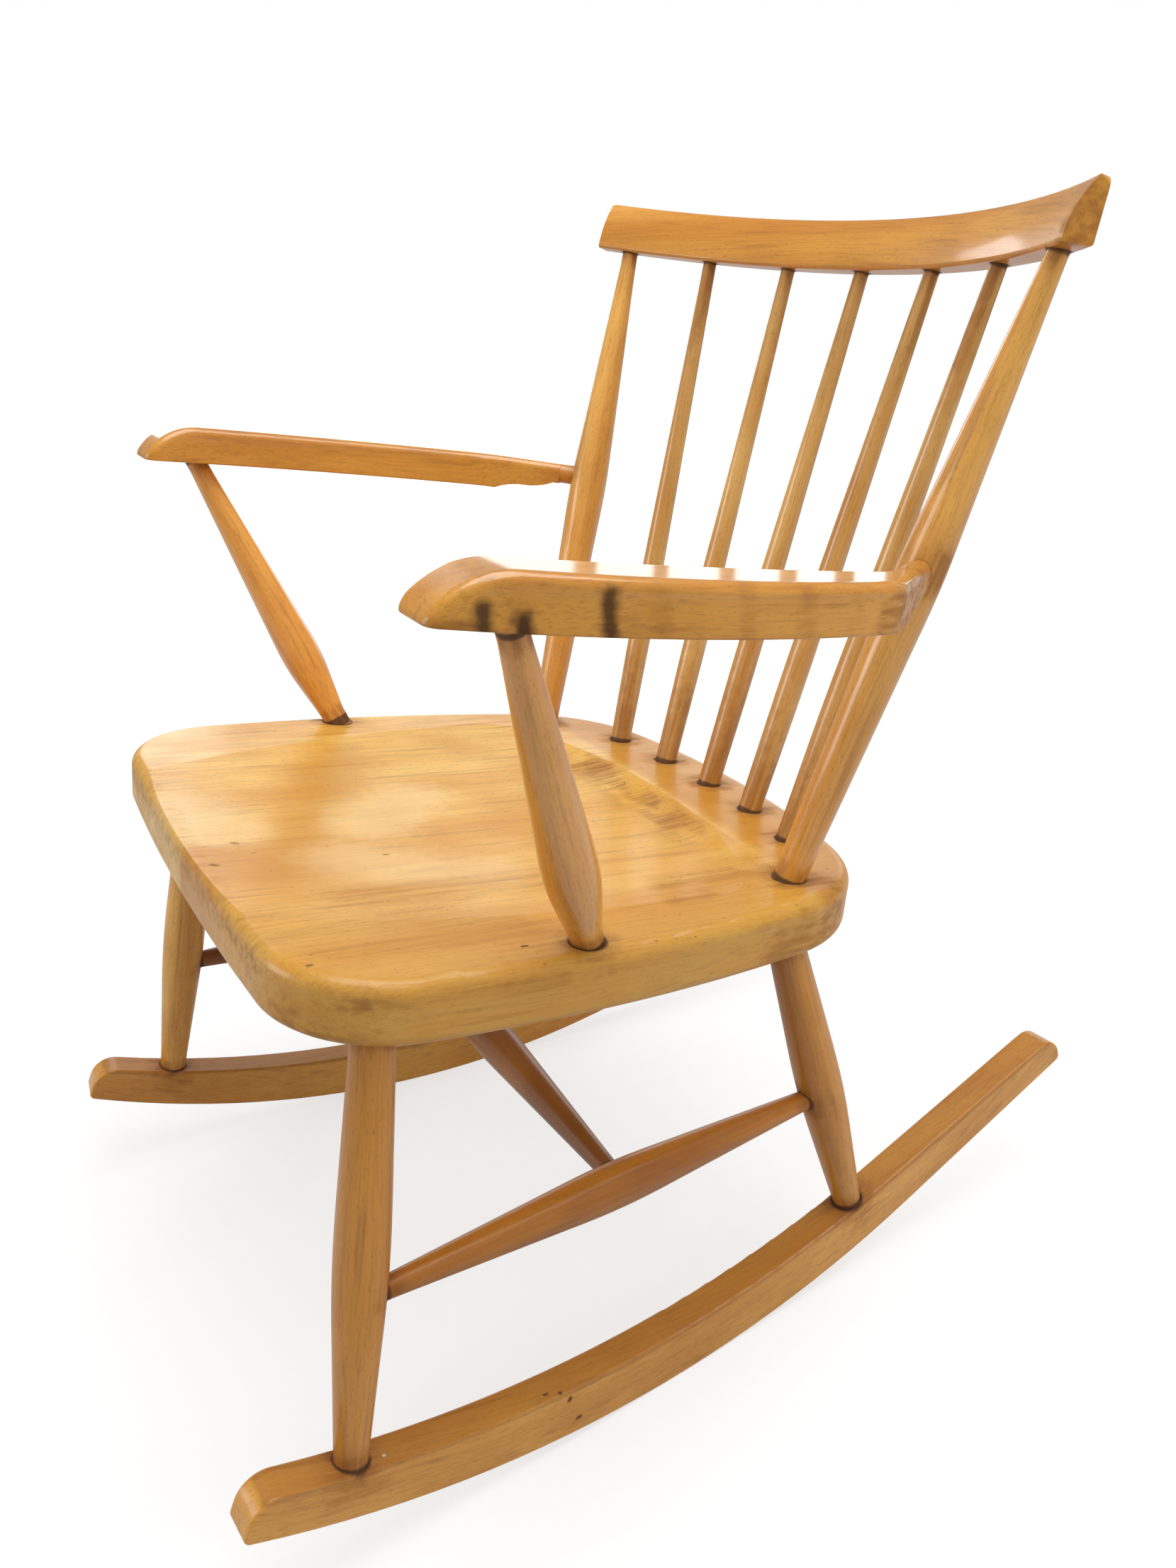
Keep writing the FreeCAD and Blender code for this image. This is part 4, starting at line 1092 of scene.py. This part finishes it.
# Each lamp's name, its place, what it points at, its width and height, and whether the wood mirrors it
LAMPS = (
    ("key", (0.3, 0.2, 2.7), CHAIR_MIDDLE, (2.0, 2.0), True),
    ("side", (2.6, 1.6, 1.5), CHAIR_MIDDLE, (2.0, 1.6), False),
    ("front", (-1.0, -2.9, 1.3), CHAIR_MIDDLE, (1.4, 1.4), True),
    ("window", (-3.4, 2.1, 0.82), CHAIR_MIDDLE, (5.0, 1.1), True),
    ("gleam", (-3.5, 0.3, 1.6), CREST_LEFT, (1.0, 0.7), True),
)


def add_camera(scene):
    """The photograph's view. The chair's front is at -Y, and the azimuth turns from it towards +X."""
    back = Vector((math.sin(CAMERA_AZIMUTH) * math.cos(CAMERA_HEIGHT),
                   -math.cos(CAMERA_AZIMUTH) * math.cos(CAMERA_HEIGHT), math.sin(CAMERA_HEIGHT)))
    right = (-back).cross(Vector((0, 0, 1))).normalized()
    up = right.cross(-back)
    level = Matrix((right, up, back)).transposed()
    turn = level @ Matrix.Rotation(CAMERA_ROLL, 3, "Z")
    lens = bpy.data.cameras.new("camera")
    lens.sensor_fit = "HORIZONTAL"
    lens.sensor_width = SENSOR_WIDTH
    lens.lens = FOCAL_PIXELS * SENSOR_WIDTH / PICTURE_WIDTH
    lens.shift_x = (PICTURE_WIDTH / 2 - VIEW_CENTRE[0]) / PICTURE_WIDTH
    lens.shift_y = (VIEW_CENTRE[1] - PICTURE_HEIGHT / 2) / PICTURE_WIDTH
    camera = bpy.data.objects.new("camera", lens)
    camera.matrix_world = Matrix.Translation(CAMERA_PLACE) @ turn.to_4x4()
    scene.collection.objects.link(camera)
    scene.camera = camera


def add_lamp(scene, name, place, aim, size, power, mirrored):
    """A large soft lamp, unseen by the camera."""
    light = bpy.data.lights.new(name, "AREA")
    light.shape = "RECTANGLE"
    light.size, light.size_y = size
    light.energy = power
    lamp = bpy.data.objects.new(name, light)
    lamp.location = place
    lamp.rotation_euler = (Vector(place) - Vector(aim)).to_track_quat("Z", "Y").to_euler()
    lamp.visible_camera = False
    lamp.visible_glossy = mirrored
    scene.collection.objects.link(lamp)


def ray_kinds(tree):
    """1 or 0 for a ray that comes from the camera, and for one from a mirror-like bounce."""
    return tree.fields("ShaderNodeLightPath", ("Is Camera Ray", "Is Glossy Ray"))


def add_floor(scene, stage):
    """A pale floor that is white at a distance, and dim where the lacquer mirrors it."""
    edge = stage.floor_radius
    mesh = bpy.data.meshes.new("floor")
    mesh.from_pydata([(-edge, -edge, 0), (edge, -edge, 0), (edge, edge, 0), (-edge, edge, 0)], [],
                     [(0, 1, 2, 3)])
    floor = bpy.data.objects.new("floor", mesh)
    scene.collection.objects.link(floor)
    material, tree = new_material("floor_white")
    matt = tree.node("ShaderNodeBsdfDiffuse", None, {"Color": opaque((stage.floor_grey,) * 3)})
    distance = tree.vector("LENGTH", tree.node("ShaderNodeTexCoord", output="Object"), output="Value")
    white = tree.step(distance, stage.fade_start, stage.fade_end, stage.floor_white, 1.0)
    camera, glossy = ray_kinds(tree)
    own = camera * white + glossy * stage.mirror_floor
    glow = tree.node("ShaderNodeEmission", None, {"Color": tree.joined(own, own, own), "Strength": 1.0})
    both = tree.node("ShaderNodeAddShader", None, {0: matt, 1: glow})
    tree.node("ShaderNodeOutputMaterial", None, {"Surface": both})
    mesh.materials.append(material)


def add_surroundings(scene, stage):
    """White for the camera, and a dim even light from all round for the chair."""
    world = bpy.data.worlds.new("surroundings")
    tree = empty_tree(world)
    camera, glossy = ray_kinds(tree)
    dim = glossy * (stage.mirror_sky - stage.sky_strength) + stage.sky_strength
    strength = camera + (1.0 - camera) * dim
    sky = tree.node("ShaderNodeBackground", None, {"Color": (1, 1, 1, 1), "Strength": strength})
    tree.node("ShaderNodeOutputWorld", None, {"Surface": sky})
    scene.world = world


class AddStage(bpy.types.Operator):
    """Adds the pale floor, the white surroundings, the soft lamps and the camera"""

    bl_idname = "rocking_chair.stage"
    bl_label = "Stage"

    def execute(self, context):
        scene = context.scene
        stage = scene.rocking_stage
        add_floor(scene, stage)
        add_surroundings(scene, stage)
        for name, place, aim, size, mirrored in LAMPS:
            add_lamp(scene, name, place, aim, size, getattr(stage, f"{name}_power"), mirrored)
        add_camera(scene)
        scene.view_settings.view_transform = "Standard"
        return {"FINISHED"}


class RockingChairPanel(bpy.types.Panel):
    """Lists the chair's pieces and their settings"""

    bl_idname = "VIEW3D_PT_rocking_chair"
    bl_label = "Rocking Chair"
    bl_space_type = "VIEW_3D"
    bl_region_type = "UI"
    bl_category = "Rocking Chair"

    def draw(self, context):
        for operator in PIECES:
            self.layout.operator(operator.bl_idname)
        for group in SETTINGS:
            settings = getattr(context.scene, group)
            box = self.layout.box()
            for name in settings.__annotations__:
                box.prop(settings, name)


SETTINGS = {"rocking_wood": WoodSettings, "rocking_beads": BeadSettings, "rocking_stage": StageSettings}
PIECES = (DressSeat, DressLegs, DressRockers, DressArms, DressBack, AddBeads, AddStage)


def register():
    for group in (*SETTINGS.values(), *PIECES, RockingChairPanel):
        bpy.utils.register_class(group)
    for name, group in SETTINGS.items():
        setattr(bpy.types.Scene, name, PointerProperty(type=group))


def unregister():
    for name in SETTINGS:
        delattr(bpy.types.Scene, name)
    for group in (RockingChairPanel, *PIECES, *SETTINGS.values()):
        bpy.utils.unregister_class(group)


def main():
    register()
    for operator in PIECES:
        category, name = operator.bl_idname.split(".")
        getattr(getattr(bpy.ops, category), name)()


if __name__ == "__main__":
    main()
